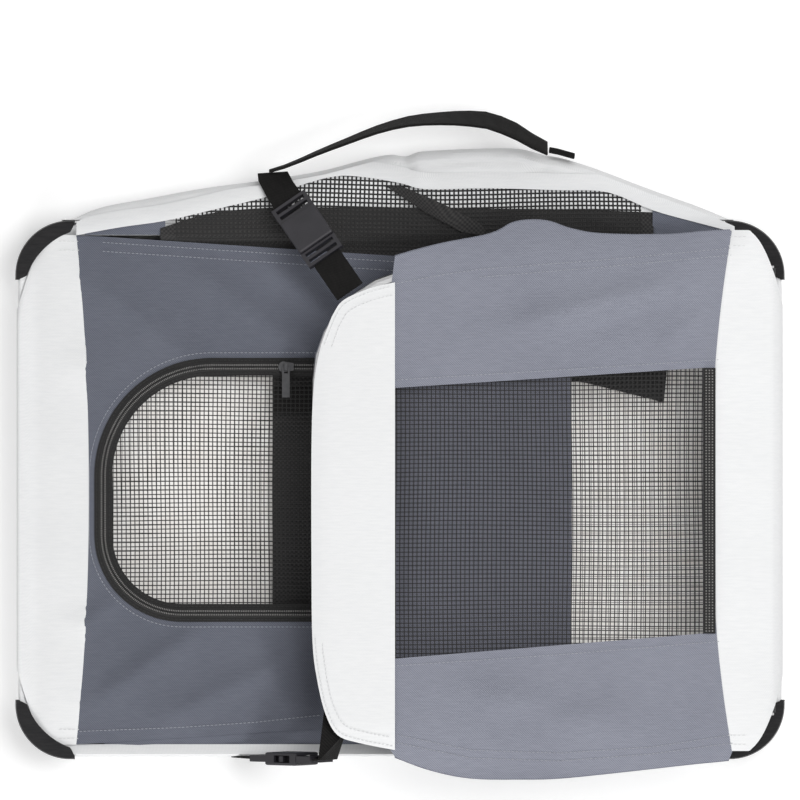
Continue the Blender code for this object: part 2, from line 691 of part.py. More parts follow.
def make_zip(name, line, low):
    """A zip: flat tape with the coil of teeth raised along its middle."""
    half = ZIP_TAPE_WIDTH / 2
    coil = ZIP_COIL_WIDTH / 2
    tape_top = low + ZIP_TAPE_THICKNESS
    coil_top = tape_top + ZIP_COIL_HEIGHT
    section = [(-half, low), (half, low), (half, tape_top), (coil, tape_top), (coil / 2, coil_top),
               (-coil / 2, coil_top), (-coil, tape_top), (-half, tape_top)]
    rings = []
    for index, (x, y) in enumerate(line):
        before = Vector(line[max(index - 1, 0)])
        after = Vector(line[min(index + 1, len(line) - 1)])
        run = (after - before).normalized()
        rings.append([Vector((x - run.y * side, y + run.x * side, height)) for side, height in section])
    return loft(name, rings, webbing)


def make_left_end():
    seam_x = left_hinge_x + LEFT_TRIM_WIDTH
    trim_end_x = seam_x - SEAT_GAP
    far_y = left_cloth_half_width(trim_end_x)
    upper = [(trim_end_x, far_y)]
    upper += arc(left_hinge_x + TRIM_CORNER, LEFT_CLOTH_HALF_WIDTH - TRIM_CORNER, TRIM_CORNER, 90, 180, CORNER_STEPS)
    trim = upper + [(x, -y) for x, y in reversed(upper)]
    prism("left_end_white_strip", trim, left_cloth_low, left_cloth_top, cloth_white)

    opening = door_line(ZIP_TAPE_WIDTH - NET_LAP)
    panel = prism("left_end_panel", left_cloth_outline(seam_x), left_cloth_low, left_cloth_top, cloth_grey)
    cut_low = left_cloth_low - CUT_OVERRUN
    cut_top = left_cloth_top + CUT_OVERRUN
    cut(panel, prism("door_opening", opening, cut_low, cut_top, cloth_grey))
    soften(panel, CLOTH_EDGE_ROUND, 1, 1.2)

    net_outline = door_line(ZIP_TAPE_WIDTH - NET_LAP + SEAT_GAP)
    net_outline[0] = (DOOR_TIP_X - SEAT_GAP, net_outline[0][1])
    net_outline[-1] = (DOOR_TIP_X - SEAT_GAP, net_outline[-1][1])
    net_border = door_line(ZIP_TAPE_WIDTH + NET_BORDER / 2)
    net_low = zip_low - SEAT_GAP - NET_THICKNESS
    make_net("door_net", net_outline, net_border, net_low, DOOR_GAPS_ALONG, DOOR_GAPS_ACROSS)
    make_zip("door_zip", door_line(ZIP_TAPE_WIDTH / 2), zip_low)

    tab_low = net_low - SEAT_GAP - PULLER_THICKNESS
    tab = rectangle(TIE_TAB_X - TIE_TAB_LENGTH / 2, TIE_TAB_X + TIE_TAB_LENGTH / 2,
                    TIE_TAB_Y - TIE_TAB_WIDTH / 2, TIE_TAB_Y + TIE_TAB_WIDTH / 2)
    prism("door_tie_tab", tab, tab_low, tab_low + PULLER_THICKNESS, webbing)


def make_zip_slider():
    """The slider rides on the coil of the door's upper straight, with the puller lying towards the net."""
    slider_y = DOOR_HALF_HEIGHT - ZIP_TAPE_WIDTH / 2
    plate_low = zip_top + SEAT_GAP
    plate_top = plate_low + SLIDER_PLATE
    nose = arc(SLIDER_X - SLIDER_LENGTH / 2 + SLIDER_WIDTH / 2, slider_y, SLIDER_WIDTH / 2, 90, 270, ARC_STEPS)
    tail_x = SLIDER_X + SLIDER_LENGTH / 2
    tail_half = SLIDER_WIDTH / 3
    body = nose + [(tail_x, slider_y - tail_half), (tail_x, slider_y + tail_half)]
    slider = prism("zip_slider", body, plate_low, plate_top, steel)

    bail_half = SLIDER_BAIL_LENGTH / 2
    bail_top = plate_top + SLIDER_BAIL_HEIGHT
    bail_low = plate_low + SLIDER_PLATE / 2
    thick = SLIDER_BAIL_THICKNESS
    arch = [(-bail_half, bail_low), (-bail_half, bail_top), (bail_half, bail_top), (bail_half, bail_low),
            (bail_half - thick, bail_low), (bail_half - thick, bail_top - thick),
            (thick - bail_half, bail_top - thick), (thick - bail_half, bail_low)]

    def across(y, z, x):
        return Vector((SLIDER_X + x, slider_y + y, z))

    fuse(slider, prism("slider_bail", arch, -thick, thick, steel, across))

    ring_y = slider_y - bail_half + thick + SEAT_GAP + PULLER_THICKNESS
    puller_z = plate_top + SEAT_GAP
    half = PULLER_WIDTH / 2
    slot_half = thick + SEAT_GAP
    end_y = ring_y - PULLER_LENGTH
    outline = rectangle(SLIDER_X - half, SLIDER_X + half, end_y, ring_y)
    puller = prism("zip_puller", outline, puller_z, puller_z + PULLER_THICKNESS, steel)
    slot_top_y = ring_y - PULLER_THICKNESS
    slot_low_y = slot_top_y - PULLER_SLOT_LENGTH
    slot = rectangle(SLIDER_X - slot_half, SLIDER_X + slot_half, slot_low_y, slot_top_y)
    cut(puller, prism("puller_slot", slot, puller_z - CUT_OVERRUN, puller_z + CUT_OVERRUN, steel))
    return Vector((SLIDER_X, slider_y, plate_low)), Vector((SLIDER_X, ring_y - PULLER_THICKNESS / 2,
                                                            puller_z + PULLER_THICKNESS / 2))


# The right end: grey cloth with a net window, a white strip at each end and side hems

def right_upper_edge():
    """The cloth's edge towards the handle, from the hinge to the white strip, pinched in near the strap."""
    length = right_hinge_x - RIGHT_SEAM_X
    width = RIGHT_HINGE_HALF_WIDTH
    along_shares = (0.0, 0.09, 0.30, 0.47, 0.595, 0.675, 0.745, 0.85, 0.995)
    width_shares = (1.0, 1.005, 0.993, 1.008, 1.034, 1.034, 0.985, 0.945, 0.897)
    return [(right_hinge_x - length * a, width * w) for a, w in zip(along_shares, width_shares)]


def right_lower_edge():
    """The hem on the other side, which sags outwards along its middle."""
    length = right_hinge_x - RIGHT_SEAM_X
    width = RIGHT_HINGE_HALF_WIDTH
    along_shares = (0.0, 0.08, 0.30, 0.50, 0.66, 0.80, 0.995)
    width_shares = (1.0, 1.035, 1.072, 1.10, 1.112, 1.10, 1.04)
    return [(right_hinge_x - length * a, -width * w) for a, w in zip(along_shares, width_shares)]


def strip_edge():
    """The rounded outer edge of the white top strip, from the handle side round the tip."""
    length = RIGHT_SEAM_X - right_tip_x + LEFT_TIP_OVERHANG
    width = RIGHT_HINGE_HALF_WIDTH
    along_shares = (0.0, 0.30, 0.58, 0.74, 0.87, 0.96, 1.0, 1.0, 0.97, 0.92, 0.84, 0.76, 0.55, 0.0)
    width_shares = (0.800, 0.785, 0.742, 0.680, 0.585, 0.470, 0.340, -0.53, -0.72, -0.82, -0.895,
                    -0.930, -0.965, -1.0)
    return [(RIGHT_SEAM_X - length * a, width * w) for a, w in zip(along_shares, width_shares)]


def make_right_end():
    trim_x = right_hinge_x - RIGHT_TRIM_WIDTH
    half = RIGHT_HINGE_HALF_WIDTH
    upper = [(trim_x + SEAT_GAP, half)]
    upper += arc(right_hinge_x - TRIM_CORNER, half - TRIM_CORNER, TRIM_CORNER, 90, 0, CORNER_STEPS)
    trim = upper + [(x, -y) for x, y in reversed(upper)]
    prism("right_end_white_strip", trim, right_cloth_low, right_cloth_top, cloth_white)

    outer = right_upper_edge() + strip_edge() + list(reversed(right_lower_edge()))
    panel = prism("right_end_panel", outer, right_cloth_low, right_cloth_top, cloth_grey)
    trim_cut = rectangle(trim_x, right_hinge_x + BASE_LENGTH, -BASE_WIDTH, BASE_WIDTH)
    cut_low = right_cloth_low - CUT_OVERRUN
    cut_top = right_cloth_top + CUT_OVERRUN
    cut(panel, prism("trim_cut", trim_cut, cut_low, cut_top, cloth_grey))
    window_end_x = trim_x - BINDING_WIDTH
    window = [(RIGHT_SEAM_X, WINDOW_TOP_SEAM_Y), (RIGHT_SEAM_X, WINDOW_LOW_SEAM_Y),
              (window_end_x, WINDOW_LOW_HINGE_Y), (window_end_x, WINDOW_TOP_HINGE_Y)]
    cut(panel, prism("window_opening", window, cut_low, cut_top, cloth_grey))

    net_low = right_cloth_low - SEAT_GAP - NET_THICKNESS
    lap = NET_LAP + NET_BORDER / 2
    middle_x = (RIGHT_SEAM_X + trim_x) / 2
    net_outline = [(x + math.copysign(lap, x - middle_x), y + math.copysign(lap, y)) for x, y in window]
    make_net("window_net", net_outline, window, net_low, WINDOW_GAPS_ALONG, WINDOW_GAPS_ACROSS)

    bind_low = right_cloth_top + SEAT_GAP
    binding = rectangle(window_end_x, trim_x - SEAT_GAP, WINDOW_LOW_HINGE_Y, WINDOW_TOP_HINGE_Y)
    prism("window_binding", binding, bind_low, bind_low + BINDING_THICKNESS, webbing)

    strip_low = right_cloth_top + TOP_STRIP_LIFT
    prism("right_end_top_strip", strip_edge(), strip_low, strip_low + PANEL_CLOTH, cloth_white)

    skirt_top = right_cloth_low - SEAT_GAP
    for name, edge in (("right_end_hem_back", right_upper_edge()), ("right_end_hem_front", right_lower_edge())):
        sign = 1 if name.endswith("back") else -1
        shown = [(x, y) for x, y in edge if x < trim_x]
        rings = []
        for x, y in shown:
            out_y = y - sign * CLOTH_EDGE_ROUND
            in_y = out_y - sign * SKIRT_THICKNESS
            low = skirt_top - SKIRT_DEPTH
            rings.append([Vector((x, out_y, skirt_top)), Vector((x, in_y, skirt_top)),
                          Vector((x, in_y - sign * SKIRT_INSET, low)), Vector((x, out_y - sign * SKIRT_INSET, low))])
        loft(name, rings, cloth_grey)


# The roof and the side walls, folded inside

def make_roof():
    """Three flat folds: one hangs under the right frame, two lie under the left frame."""
    low = right_hinge_z - TUBE_RADIUS - SEAT_GAP - THIN_CLOTH
    right_end_x = right_tip_x + ROOF_RIGHT_LENGTH
    half = ROOF_HALF_WIDTH
    outline = rectangle(right_tip_x, right_end_x, -half, half)
    prism("roof_right", outline, low, low + THIN_CLOTH, cloth_dark)

    fold_x = left_tip_x - ROOF_LEFT_LENGTH
    outline = rectangle(fold_x, left_tip_x, -half, half)
    prism("roof_left", outline, layer_lows[4], layer_lows[4] + THIN_CLOTH, cloth_dark)
    outline = rectangle(fold_x, fold_x + roof_middle_length(), -half, half)
    prism("roof_middle", outline, layer_lows[5], layer_lows[5] + THIN_CLOTH, cloth_dark)


def roof_middle_length():
    """The middle fold fills the opened roof between the other two."""
    open_start_x = left_hinge_x - (roof_hinge_z - left_hinge_z)
    return right_hinge_x - ROOF_RIGHT_LENGTH - open_start_x - ROOF_LEFT_LENGTH


def make_walls():
    """Each side wall is folded in half, with its upper half back on top of its lower half."""
    hinge_room = WALL_HINGE_Y - WALL_HINGE_ROOM
    fold_y = WALL_HINGE_Y - WALL_HALF_HEIGHT
    for sign, side, first in ((1, "back", 0), (-1, "front", 2)):
        for part_name, layer in (("lower", first), ("upper", first + 1)):
            low = layer_lows[layer]
            near, far = sorted((sign * fold_y, sign * hinge_room))
            outline = rectangle(-WALL_HALF_LENGTH, WALL_HALF_LENGTH, near, far)
            prism(side + "_wall_" + part_name, outline, low, low + THIN_CLOTH, netting)


# The roll that the handle pulls up, its net and the handle

def roll_edge_y(x):
    """How far out the roll's edge reaches at one place along it."""
    share = (x + ROLL_LENGTH / 2) / ROLL_LENGTH
    share = min(max(share, 0.0), 1.0)
    return band_out_y + ROLL_PULL * eased(ROLL_ALONG_SHARES, ROLL_PULL_SHARES, share)


def make_roll():
    inner_y = band_out_y + SEAT_GAP + PROTECTOR_WALL + SEAT_GAP
    rings = []
    for step in range(ROLL_STATIONS + 1):
        x = ROLL_LENGTH * (step / ROLL_STATIONS - 0.5)
        outer_y = max(roll_edge_y(x), inner_y + ROLL_END_DEPTH)
        depth = outer_y - inner_y
        bend = min(ROLL_ROUND, depth * 0.9)
        ring = arc(outer_y - bend, roll_low + bend, bend, -90, 0, ROLL_ARC_STEPS)
        ring += arc(outer_y - bend, roll_top - bend, bend, 0, 90, ROLL_ARC_STEPS)
        ring += [(inner_y, roll_top), (inner_y, roll_low)]
        rings.append([Vector((x, y, z)) for y, z in ring])
    loft("back_roll", rings, cloth_white)

    net_low = roll_top + SEAT_GAP
    half = FOOT_NET_LENGTH / 2
    steps = ROLL_STATIONS // 2
    outer = []
    for step in range(steps + 1):
        x = FOOT_NET_X + half * (2 * step / steps - 1)
        outer.append((x, roll_edge_y(x) - FOOT_NET_ROLL_WIDTH))
    inner = [(FOOT_NET_X + half, FOOT_NET_INNER_Y), (FOOT_NET_X - half, FOOT_NET_INNER_Y)]
    prism("back_foot_net", outer + inner, net_low, net_low + NET_THICKNESS, netting)

    inner_y = BASE_WIDTH / 2 - PATCH_INNER_INSET
    for side, sign in (("left", -1), ("right", 1)):
        start = FOOT_NET_X + sign * (half + SEAT_GAP)
        outline = [(start, inner_y)]
        for step in range(ARC_STEPS + 1):
            x = start + sign * PATCH_LENGTH * step / ARC_STEPS
            outline.append((x, max(roll_edge_y(x) - PATCH_ROLL_WIDTH, inner_y + ROLL_END_DEPTH)))
        outline.append((start + sign * PATCH_LENGTH, inner_y))
        prism("back_foot_patch_" + side, outline, net_low, net_low + THIN_CLOTH, cloth_grey)


def make_handle():
    _, strap_y = top_strap_wrap()
    left_y = strap_y + STRAP_THICKNESS / 2 + SEAT_GAP + HANDLE_THICKNESS / 2
    right_y = roll_edge_y(handle_right_x) + HANDLE_ROLL_CLEARANCE + HANDLE_THICKNESS / 2
    centres = []
    across = []
    count = 3 * (len(HANDLE_ALONG_SHARES) - 1)
    for step in range(count + 1):
        share = step / count
        x = handle_left_x + HANDLE_SPAN * share
        rise = HANDLE_RISE * eased(HANDLE_ALONG_SHARES, HANDLE_RISE_SHARES, share)
        y = left_y + (right_y - left_y) * share + rise
        centres.append(Vector((x, y, handle_z)))
        half = HANDLE_WIDTH / 2 * eased(HANDLE_ALONG_SHARES, HANDLE_WIDTH_SHARES, share)
        lean = math.radians(HANDLE_LEAN * eased(HANDLE_ALONG_SHARES, HANDLE_LEAN_SHARES, share))
        across.append(Vector((0, -half * math.sin(lean), half * math.cos(lean))))
    ribbon("carrying_handle", centres, across, HANDLE_THICKNESS, webbing)

    tail_centres = []
    for step in range(4):
        x = handle_right_x + SEAT_GAP + HANDLE_THICKNESS / 2 + HANDLE_TAIL_LENGTH * step / 3
        y = roll_edge_y(x) + SEAT_GAP + HANDLE_TAIL_THICKNESS / 2
        tail_centres.append(Vector((x, y, handle_z - HANDLE_TAIL_DROP)))
    tail_across = [Vector((0, 0, HANDLE_TAIL_WIDTH / 2))] * len(tail_centres)
    ribbon("handle_tail", tail_centres, tail_across, HANDLE_TAIL_THICKNESS, webbing)
    return (centres[0] + centres[-1]) / 2


# The two straps with their side-release buckles

def buckle_place(start, reach, across):
    """Places a buckle drawn along its strap, across it and through it."""
    origin = Vector(start)
    along = Vector(reach).normalized()
    side = Vector(across).normalized()
    up = along.cross(side)

    def place(u, v, w):
        return origin + along * u + side * v + up * w

    return place


def ladder_slots(name, first_u, place, level):
    """Two strap slots through a ladder end."""
    slots = []
    for index in range(2):
        low_u = first_u + LADDER_BAR + index * (LADDER_SLOT_LENGTH + LADDER_BAR)
        outline = rectangle(low_u, low_u + LADDER_SLOT_LENGTH, -LADDER_SLOT_WIDTH / 2, LADDER_SLOT_WIDTH / 2)
        slots.append(prism(name + "_slot_" + str(index), outline, -level, level, plastic, place))
    return slots


def make_buckle(name, start, reach, across):
    place = buckle_place(start, reach, across)
    half = BUCKLE_WIDTH / 2
    slim = BUCKLE_LADDER_THICKNESS / 2
    thick = BUCKLE_THICKNESS / 2
    mouth = BUCKLE_LADDER_LENGTH + BUCKLE_BODY_LENGTH
    body = rectangle(BUCKLE_LADDER_LENGTH, mouth, -half, half)
    female = prism(name + "_buckle_female", body, -thick, thick, plastic, place)
    soften(female, BUCKLE_ROUND)
    ladder = rectangle(0, BUCKLE_LADDER_LENGTH + BUCKLE_ROUND, -half, half)
    fuse(female, prism(name + "_ladder", ladder, -slim, slim, plastic, place))
    for slot in ladder_slots(name + "_female", 0, place, thick):
        cut(female, slot)
    cavity_y = BUCKLE_CAVITY_WIDTH / 2
    cavity = rectangle(mouth - BUCKLE_CAVITY_DEPTH, mouth + CUT_OVERRUN, -cavity_y, cavity_y)
    cavity_z = BUCKLE_CAVITY_HEIGHT / 2
    cut(female, prism(name + "_cavity", cavity, -cavity_z, cavity_z, plastic, place))
    window_end = mouth - BUCKLE_WINDOW_START
    window_start = window_end - BUCKLE_WINDOW_LENGTH
    window = rectangle(window_start, window_end, -half - CUT_OVERRUN, half + CUT_OVERRUN)
    cut(female, prism(name + "_windows", window, -cavity_z, cavity_z, plastic, place))

    male_u = mouth + MALE_GAP
    end_u = male_u + BUCKLE_MALE_LENGTH
    male = prism(name + "_buckle_male", rectangle(male_u, end_u, -half, half), -slim, slim, plastic, place)
    guide_z = GUIDE_THICKNESS / 2
    guide = rectangle(male_u - GUIDE_LENGTH, male_u + LADDER_BAR / 2, -GUIDE_WIDTH / 2, GUIDE_WIDTH / 2)
    fuse(male, prism(name + "_guide", guide, -guide_z, guide_z, plastic, place))
    first_slot = end_u - 2 * (LADDER_SLOT_LENGTH + LADDER_BAR) - LADDER_BAR
    for slot in ladder_slots(name + "_male", first_slot, place, thick):
        cut(male, slot)

    prong_z = PRONG_THICKNESS / 2
    root_u = male_u - PRONG_ROOT_PLAY
    barb_u = root_u - PRONG_LENGTH
    pivots = [place(male_u, 0, 0)]
    for suffix, sign in (("a", 1), ("b", -1)):
        inner = PRONG_ROOT_Y
        outer = PRONG_ROOT_Y + PRONG_ARM_WIDTH
        barb = outer + PRONG_BARB_OUT
        shoulder = barb_u + PRONG_BARB_LENGTH
        outline = [(root_u, inner), (root_u, outer), (shoulder, outer - PRONG_ARM_WIDTH / 4), (shoulder, barb),
                   (shoulder - PRONG_BARB_LENGTH / 3, barb), (barb_u, outer - PRONG_ARM_WIDTH / 4),
                   (barb_u, inner)]
        outline = [(u, sign * v) for u, v in outline]
        prism(name + "_prong_" + suffix, outline, -prong_z, prong_z, plastic, place)
        pivots.append(place(root_u - PRONG_ARM_WIDTH / 2, sign * (inner + PRONG_ARM_WIDTH / 2), 0))
    return place, pivots


def strap_turns(widths):
    return [Vector(width).normalized() * (STRAP_WIDTH / 2) for width in widths]


def top_strap_wrap():
    """Where the strap wraps the roll's edge: its place along the roll and how far out it lies."""
    wrap_x = top_buckle_start[0] - STRAP_WIDTH / 2
    strap_edges = (wrap_x - STRAP_WIDTH / 2, wrap_x + STRAP_WIDTH / 2)
    edge_y = max(roll_edge_y(x) for x in strap_edges) + SEAT_GAP + STRAP_THICKNESS / 2
    return wrap_x, edge_y


def make_top_strap():
    flat_across = (TOP_BUCKLE_REACH[1], -TOP_BUCKLE_REACH[0], 0)
    across = (-flat_across[0], -flat_across[1], 0)
    place, pivots = make_buckle("top", top_buckle_start, TOP_BUCKLE_REACH, across)
    wrap_x, edge_y = top_strap_wrap()
    low_z = (roll_low + roll_top) / 2
    start = place(-SEAT_GAP, 0, 0)
    lead = place(-STRAP_WIDTH / 2, 0, 0)
    centres = [Vector((wrap_x, edge_y, low_z)), Vector((wrap_x, edge_y, strap_over_z - STRAP_THICKNESS)),
               Vector((wrap_x, edge_y - STRAP_THICKNESS, strap_over_z)), lead, start]
    sideways = Vector((1, 0, 0))
    halfway = sideways + Vector(across).normalized()
    widths = strap_turns([sideways, sideways, halfway, across, across])
    ribbon("top_strap_base", centres, widths, STRAP_THICKNESS, webbing)

    male_end = BUCKLE_LADDER_LENGTH + BUCKLE_BODY_LENGTH + MALE_GAP + BUCKLE_MALE_LENGTH
    reach = Vector(TOP_BUCKLE_REACH).length
    first = place(male_end + SEAT_GAP, 0, 0)
    last = place(reach - STRAP_WIDTH, 0, 0)
    ribbon("top_strap_end", [first, (first + last) / 2, last], strap_turns([across] * 3), STRAP_THICKNESS, webbing)
    return pivots


def make_low_strap():
    across = (-LOW_BUCKLE_REACH[2], 0, LOW_BUCKLE_REACH[0])
    place, pivots = make_buckle("low", low_buckle_start, LOW_BUCKLE_REACH, across)
    outside_y = -band_out_y - SEAT_GAP - STRAP_THICKNESS / 2
    start = place(-SEAT_GAP, 0, 0)
    wrap_x = low_buckle_start[0] - STRAP_WIDTH / 2
    centres = [Vector((wrap_x, outside_y, band_low + STRAP_THICKNESS)),
               Vector((wrap_x, outside_y, band_top - STRAP_WIDTH / 2)), start]
    widths = strap_turns([(-1, 0, 0), (-1, 0, 0), across])
    ribbon("low_strap_base", centres, widths, STRAP_THICKNESS, webbing)

    male_end = BUCKLE_LADDER_LENGTH + BUCKLE_BODY_LENGTH + MALE_GAP + BUCKLE_MALE_LENGTH
    first = place(male_end + SEAT_GAP, 0, 0)
    second = place(male_end + STRAP_WIDTH / 4, 0, 0)
    corner_out = (FRAME_CORNER + TUBE_RADIUS) * math.sin(math.pi / 4) + SEAT_GAP + STRAP_THICKNESS
    corner_x = right_tip_x + FRAME_CORNER - corner_out
    corner_y = FRAME_CORNER - RIGHT_LEG_Y - corner_out
    under_z = right_hinge_z
    last = Vector((corner_x, corner_y, under_z))
    middle = (second + last) / 2
    widths = strap_turns([across, across, (1, -1, 0), (1, -1, 0)])
    ribbon("low_strap_end", [first, second, middle, last], widths, STRAP_THICKNESS, webbing)
    return pivots


# The joints' axes

def hang(joint, point, pieces, carrier=None):
    """An empty on a joint's axis, with the pieces that move about it as its children."""
    axle = bpy.data.objects.new(joint, None)
    bpy.context.scene.collection.objects.link(axle)
    axle.location = point
    if carrier:
        axle.parent = carrier[0]
        axle.location = point - carrier[1]
    for name in pieces:
        piece = bpy.data.objects[name]
        piece.parent = axle
        piece.location = -point
    return axle, point


def hang_ends_and_roof():
    left_pieces = ["left_end_frame", "left_end_white_strip", "left_end_panel", "door_net", "door_zip",
                   "door_tie_tab", "left_back_leg_plug", "left_front_leg_plug"]
    left = hang("left_end_swing", Vector((left_hinge_x, 0, left_hinge_z)), left_pieces)
    right_pieces = ["right_end_frame", "right_end_white_strip", "right_end_panel", "window_net",
                    "window_binding", "right_end_top_strip", "right_end_hem_back", "right_end_hem_front",
                    "right_back_leg_plug", "right_front_leg_plug", "top_strap_end", "low_strap_end"]
    right = hang("right_end_swing", Vector((right_hinge_x, 0, right_hinge_z)), right_pieces)
    hang("roof_right_fold", Vector((right_tip_x, 0, right_hinge_z)), ["roof_right"], right)

    fold = hang("roof_left_fold", Vector((left_tip_x, 0, roof_hinge_z)), ["roof_left"], left)
    between_z = layer_lows[5] - SEAT_GAP / 2
    hang("roof_middle_fold", Vector((left_tip_x - ROOF_LEFT_LENGTH, 0, between_z)), ["roof_middle"], fold)
    return left, right


def hang_walls():
    for sign, side, first in ((1, "back", 0), (-1, "front", 2)):
        lower_z = layer_lows[first] + THIN_CLOTH / 2
        between_z = layer_lows[first + 1] - SEAT_GAP / 2
        lower_axis = Vector((0, sign * WALL_HINGE_Y, lower_z))
        lower = hang(side + "_wall_lower_fold", lower_axis, [side + "_wall_lower"])
        upper_axis = Vector((0, sign * (WALL_HINGE_Y - WALL_HALF_HEIGHT), between_z))
        hang(side + "_wall_upper_fold", upper_axis, [side + "_wall_upper"], lower)


def hang_buckle(name, pivots, right):
    male = hang(name + "_buckle_slide", pivots[0], [name + "_buckle_male"], right)
    for suffix, point in zip(("a", "b"), pivots[1:]):
        piece = name + "_prong_" + suffix
        hang(piece + "_flex", point, [piece], male)


def build():
    clear_objects()
    make_base()
    make_protectors()
    make_frames()
    make_left_end()
    slider_axis, puller_axis = make_zip_slider()
    make_right_end()
    make_roof()
    make_walls()
    make_roll()
    handle_axis = make_handle()
    top_pivots = make_top_strap()
    low_pivots = make_low_strap()
    left, right = hang_ends_and_roof()
    hang_walls()
    hang("handle_swing", handle_axis, ["carrying_handle"])
    slider = hang("zip_slide", slider_axis, ["zip_slider"], left)
    hang("zip_puller_swing", puller_axis, ["zip_puller"], slider)
    hang_buckle("top", top_pivots, right)
    hang_buckle("low", low_pivots, right)


build()
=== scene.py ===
# %% [markdown]
# # A soft folding dog crate, folded flat
#
# The crate is cloth and net over three steel frames. Folded, it lies as a flat parcel: the base at the
# bottom, the door end on it, the window end on top, two buckled straps and a webbing handle. The exact
# solids of the crate are loaded first and stay fixed. The steel, the brackets and the buckles keep those
# solids and get better finishes. Everything made of cloth, net or webbing is modelled here, with folds,
# seams and threads, and rides on the body that carries it.

import json
import math

import bmesh
import bpy
import numpy as np
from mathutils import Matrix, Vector

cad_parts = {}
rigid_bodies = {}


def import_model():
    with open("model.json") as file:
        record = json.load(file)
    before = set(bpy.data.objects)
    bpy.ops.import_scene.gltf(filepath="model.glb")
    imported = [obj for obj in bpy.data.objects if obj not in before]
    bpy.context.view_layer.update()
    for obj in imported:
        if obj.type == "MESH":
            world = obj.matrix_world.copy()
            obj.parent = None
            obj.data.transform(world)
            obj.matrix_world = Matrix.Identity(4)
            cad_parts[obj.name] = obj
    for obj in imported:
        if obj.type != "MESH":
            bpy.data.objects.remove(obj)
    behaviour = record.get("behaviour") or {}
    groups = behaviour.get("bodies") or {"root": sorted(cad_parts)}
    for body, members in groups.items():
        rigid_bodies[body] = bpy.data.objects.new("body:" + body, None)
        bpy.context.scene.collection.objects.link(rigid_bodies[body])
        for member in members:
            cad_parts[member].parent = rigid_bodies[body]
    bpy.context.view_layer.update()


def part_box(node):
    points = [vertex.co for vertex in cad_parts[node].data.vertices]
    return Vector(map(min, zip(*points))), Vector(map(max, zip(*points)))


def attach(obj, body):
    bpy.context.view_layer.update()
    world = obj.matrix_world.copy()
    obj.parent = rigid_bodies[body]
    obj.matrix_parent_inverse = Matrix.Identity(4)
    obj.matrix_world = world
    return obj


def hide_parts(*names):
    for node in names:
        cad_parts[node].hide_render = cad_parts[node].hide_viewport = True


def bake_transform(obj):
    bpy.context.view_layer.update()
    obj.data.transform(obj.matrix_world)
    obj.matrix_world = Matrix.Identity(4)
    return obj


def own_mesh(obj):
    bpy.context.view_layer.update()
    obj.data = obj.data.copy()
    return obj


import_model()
solid_names = {thing.name for thing in bpy.data.objects}

# %% [markdown]
# ## The camera
#
# The photograph looks straight down on the folded crate, so the camera hangs above it. A long lens keeps
# the far side nearly as large as the near one. The photograph's scale, in metres for each of its pixels,
# also turns any place in the picture into a place on the crate, which the seams below use.

# %% The camera above the crate
PIXEL = 0.000779
PICTURE_WIDTH = 800
CENTRE_PIXEL = (400, 490)
AIM_PIXEL = (400, 400)
AIM_HEIGHT = 0.050
LENS = 400.0
SENSOR = 36.0


def spot(pixel_x, pixel_y):
    """The crate's own X and Y for a place in the photograph."""
    return (pixel_x - CENTRE_PIXEL[0]) * PIXEL, (CENTRE_PIXEL[1] - pixel_y) * PIXEL


def spots(*pixels):
    return [spot(x, y) for x, y in pixels]


camera_data = bpy.data.cameras.new("camera")
camera_data.lens = LENS
camera_data.sensor_width = SENSOR
camera = bpy.data.objects.new("camera", camera_data)
bpy.context.scene.collection.objects.link(camera)
aim_x, aim_y = spot(*AIM_PIXEL)
view_width = PICTURE_WIDTH * PIXEL
camera.location = (aim_x, aim_y, AIM_HEIGHT + view_width * LENS / SENSOR)
bpy.context.scene.camera = camera
print("Camera height:", round(camera.location.z, 3), "m")

# %% [markdown]
# ## Light and ground
#
# A large soft lamp high above lights the crate, and a weaker, low one from the front gives the folds a
# light side and a dark side, as in the picture. The surroundings are dim for the crate, and white for the
# camera and for reflections. The floor is pale and looks white to the camera alone, so that it doesn't
# throw more light on the cloth.

# %% Lamps, surroundings and floor
ROOM_LIGHT = 0.46
ROOM_SEEN = 1.0
FLOOR_SIZE = 30
FLOOR_DROP = 0.0004
FLOOR_SHADE = 0.80
FLOOR_GLOW = 0.30
WHITE = (1, 1, 1, 1)


def math_node(tree, operation, *values):
    """A math node in a tree, fed by numbers or by the outputs of other nodes."""
    node = tree.nodes.new("ShaderNodeMath")
    node.operation = operation
    for socket, value in zip(node.inputs, values):
        if isinstance(value, (int, float)):
            socket.default_value = value
        else:
            tree.links.new(value, socket)
    return node.outputs[0]


def area_lamp(name, place, size, power):
    """A square lamp that points at the middle of the crate."""
    data = bpy.data.lights.new(name, "AREA")
    data.shape = "SQUARE"
    data.size = size
    data.energy = power
    lamp = bpy.data.objects.new(name, data)
    bpy.context.scene.collection.objects.link(lamp)
    lamp.location = place
    lamp.rotation_euler = (-Vector(place)).to_track_quat("-Z", "Y").to_euler()


area_lamp("overhead_lamp", place=(0.75, 0.30, 1.9), size=1.3, power=25.5)
area_lamp("slanted_lamp", place=(-0.55, -1.70, 0.58), size=0.7, power=14.5)

world = bpy.data.worlds.new("surroundings")
bpy.context.scene.world = world
world.use_nodes = True
sky = world.node_tree
rays = sky.nodes.new("ShaderNodeLightPath").outputs
mirrored = math_node(sky, "MAXIMUM", rays["Is Glossy Ray"], rays["Is Transmission Ray"])
level = sky.nodes.new("ShaderNodeMix")
level.data_type = "FLOAT"
level.inputs["A"].default_value = ROOM_LIGHT
level.inputs["B"].default_value = ROOM_SEEN
sky.links.new(math_node(sky, "MAXIMUM", rays["Is Camera Ray"], mirrored), level.inputs["Factor"])
background = sky.nodes["Background"]
sky.links.new(level.outputs["Result"], background.inputs["Strength"])
background.inputs["Color"].default_value = WHITE

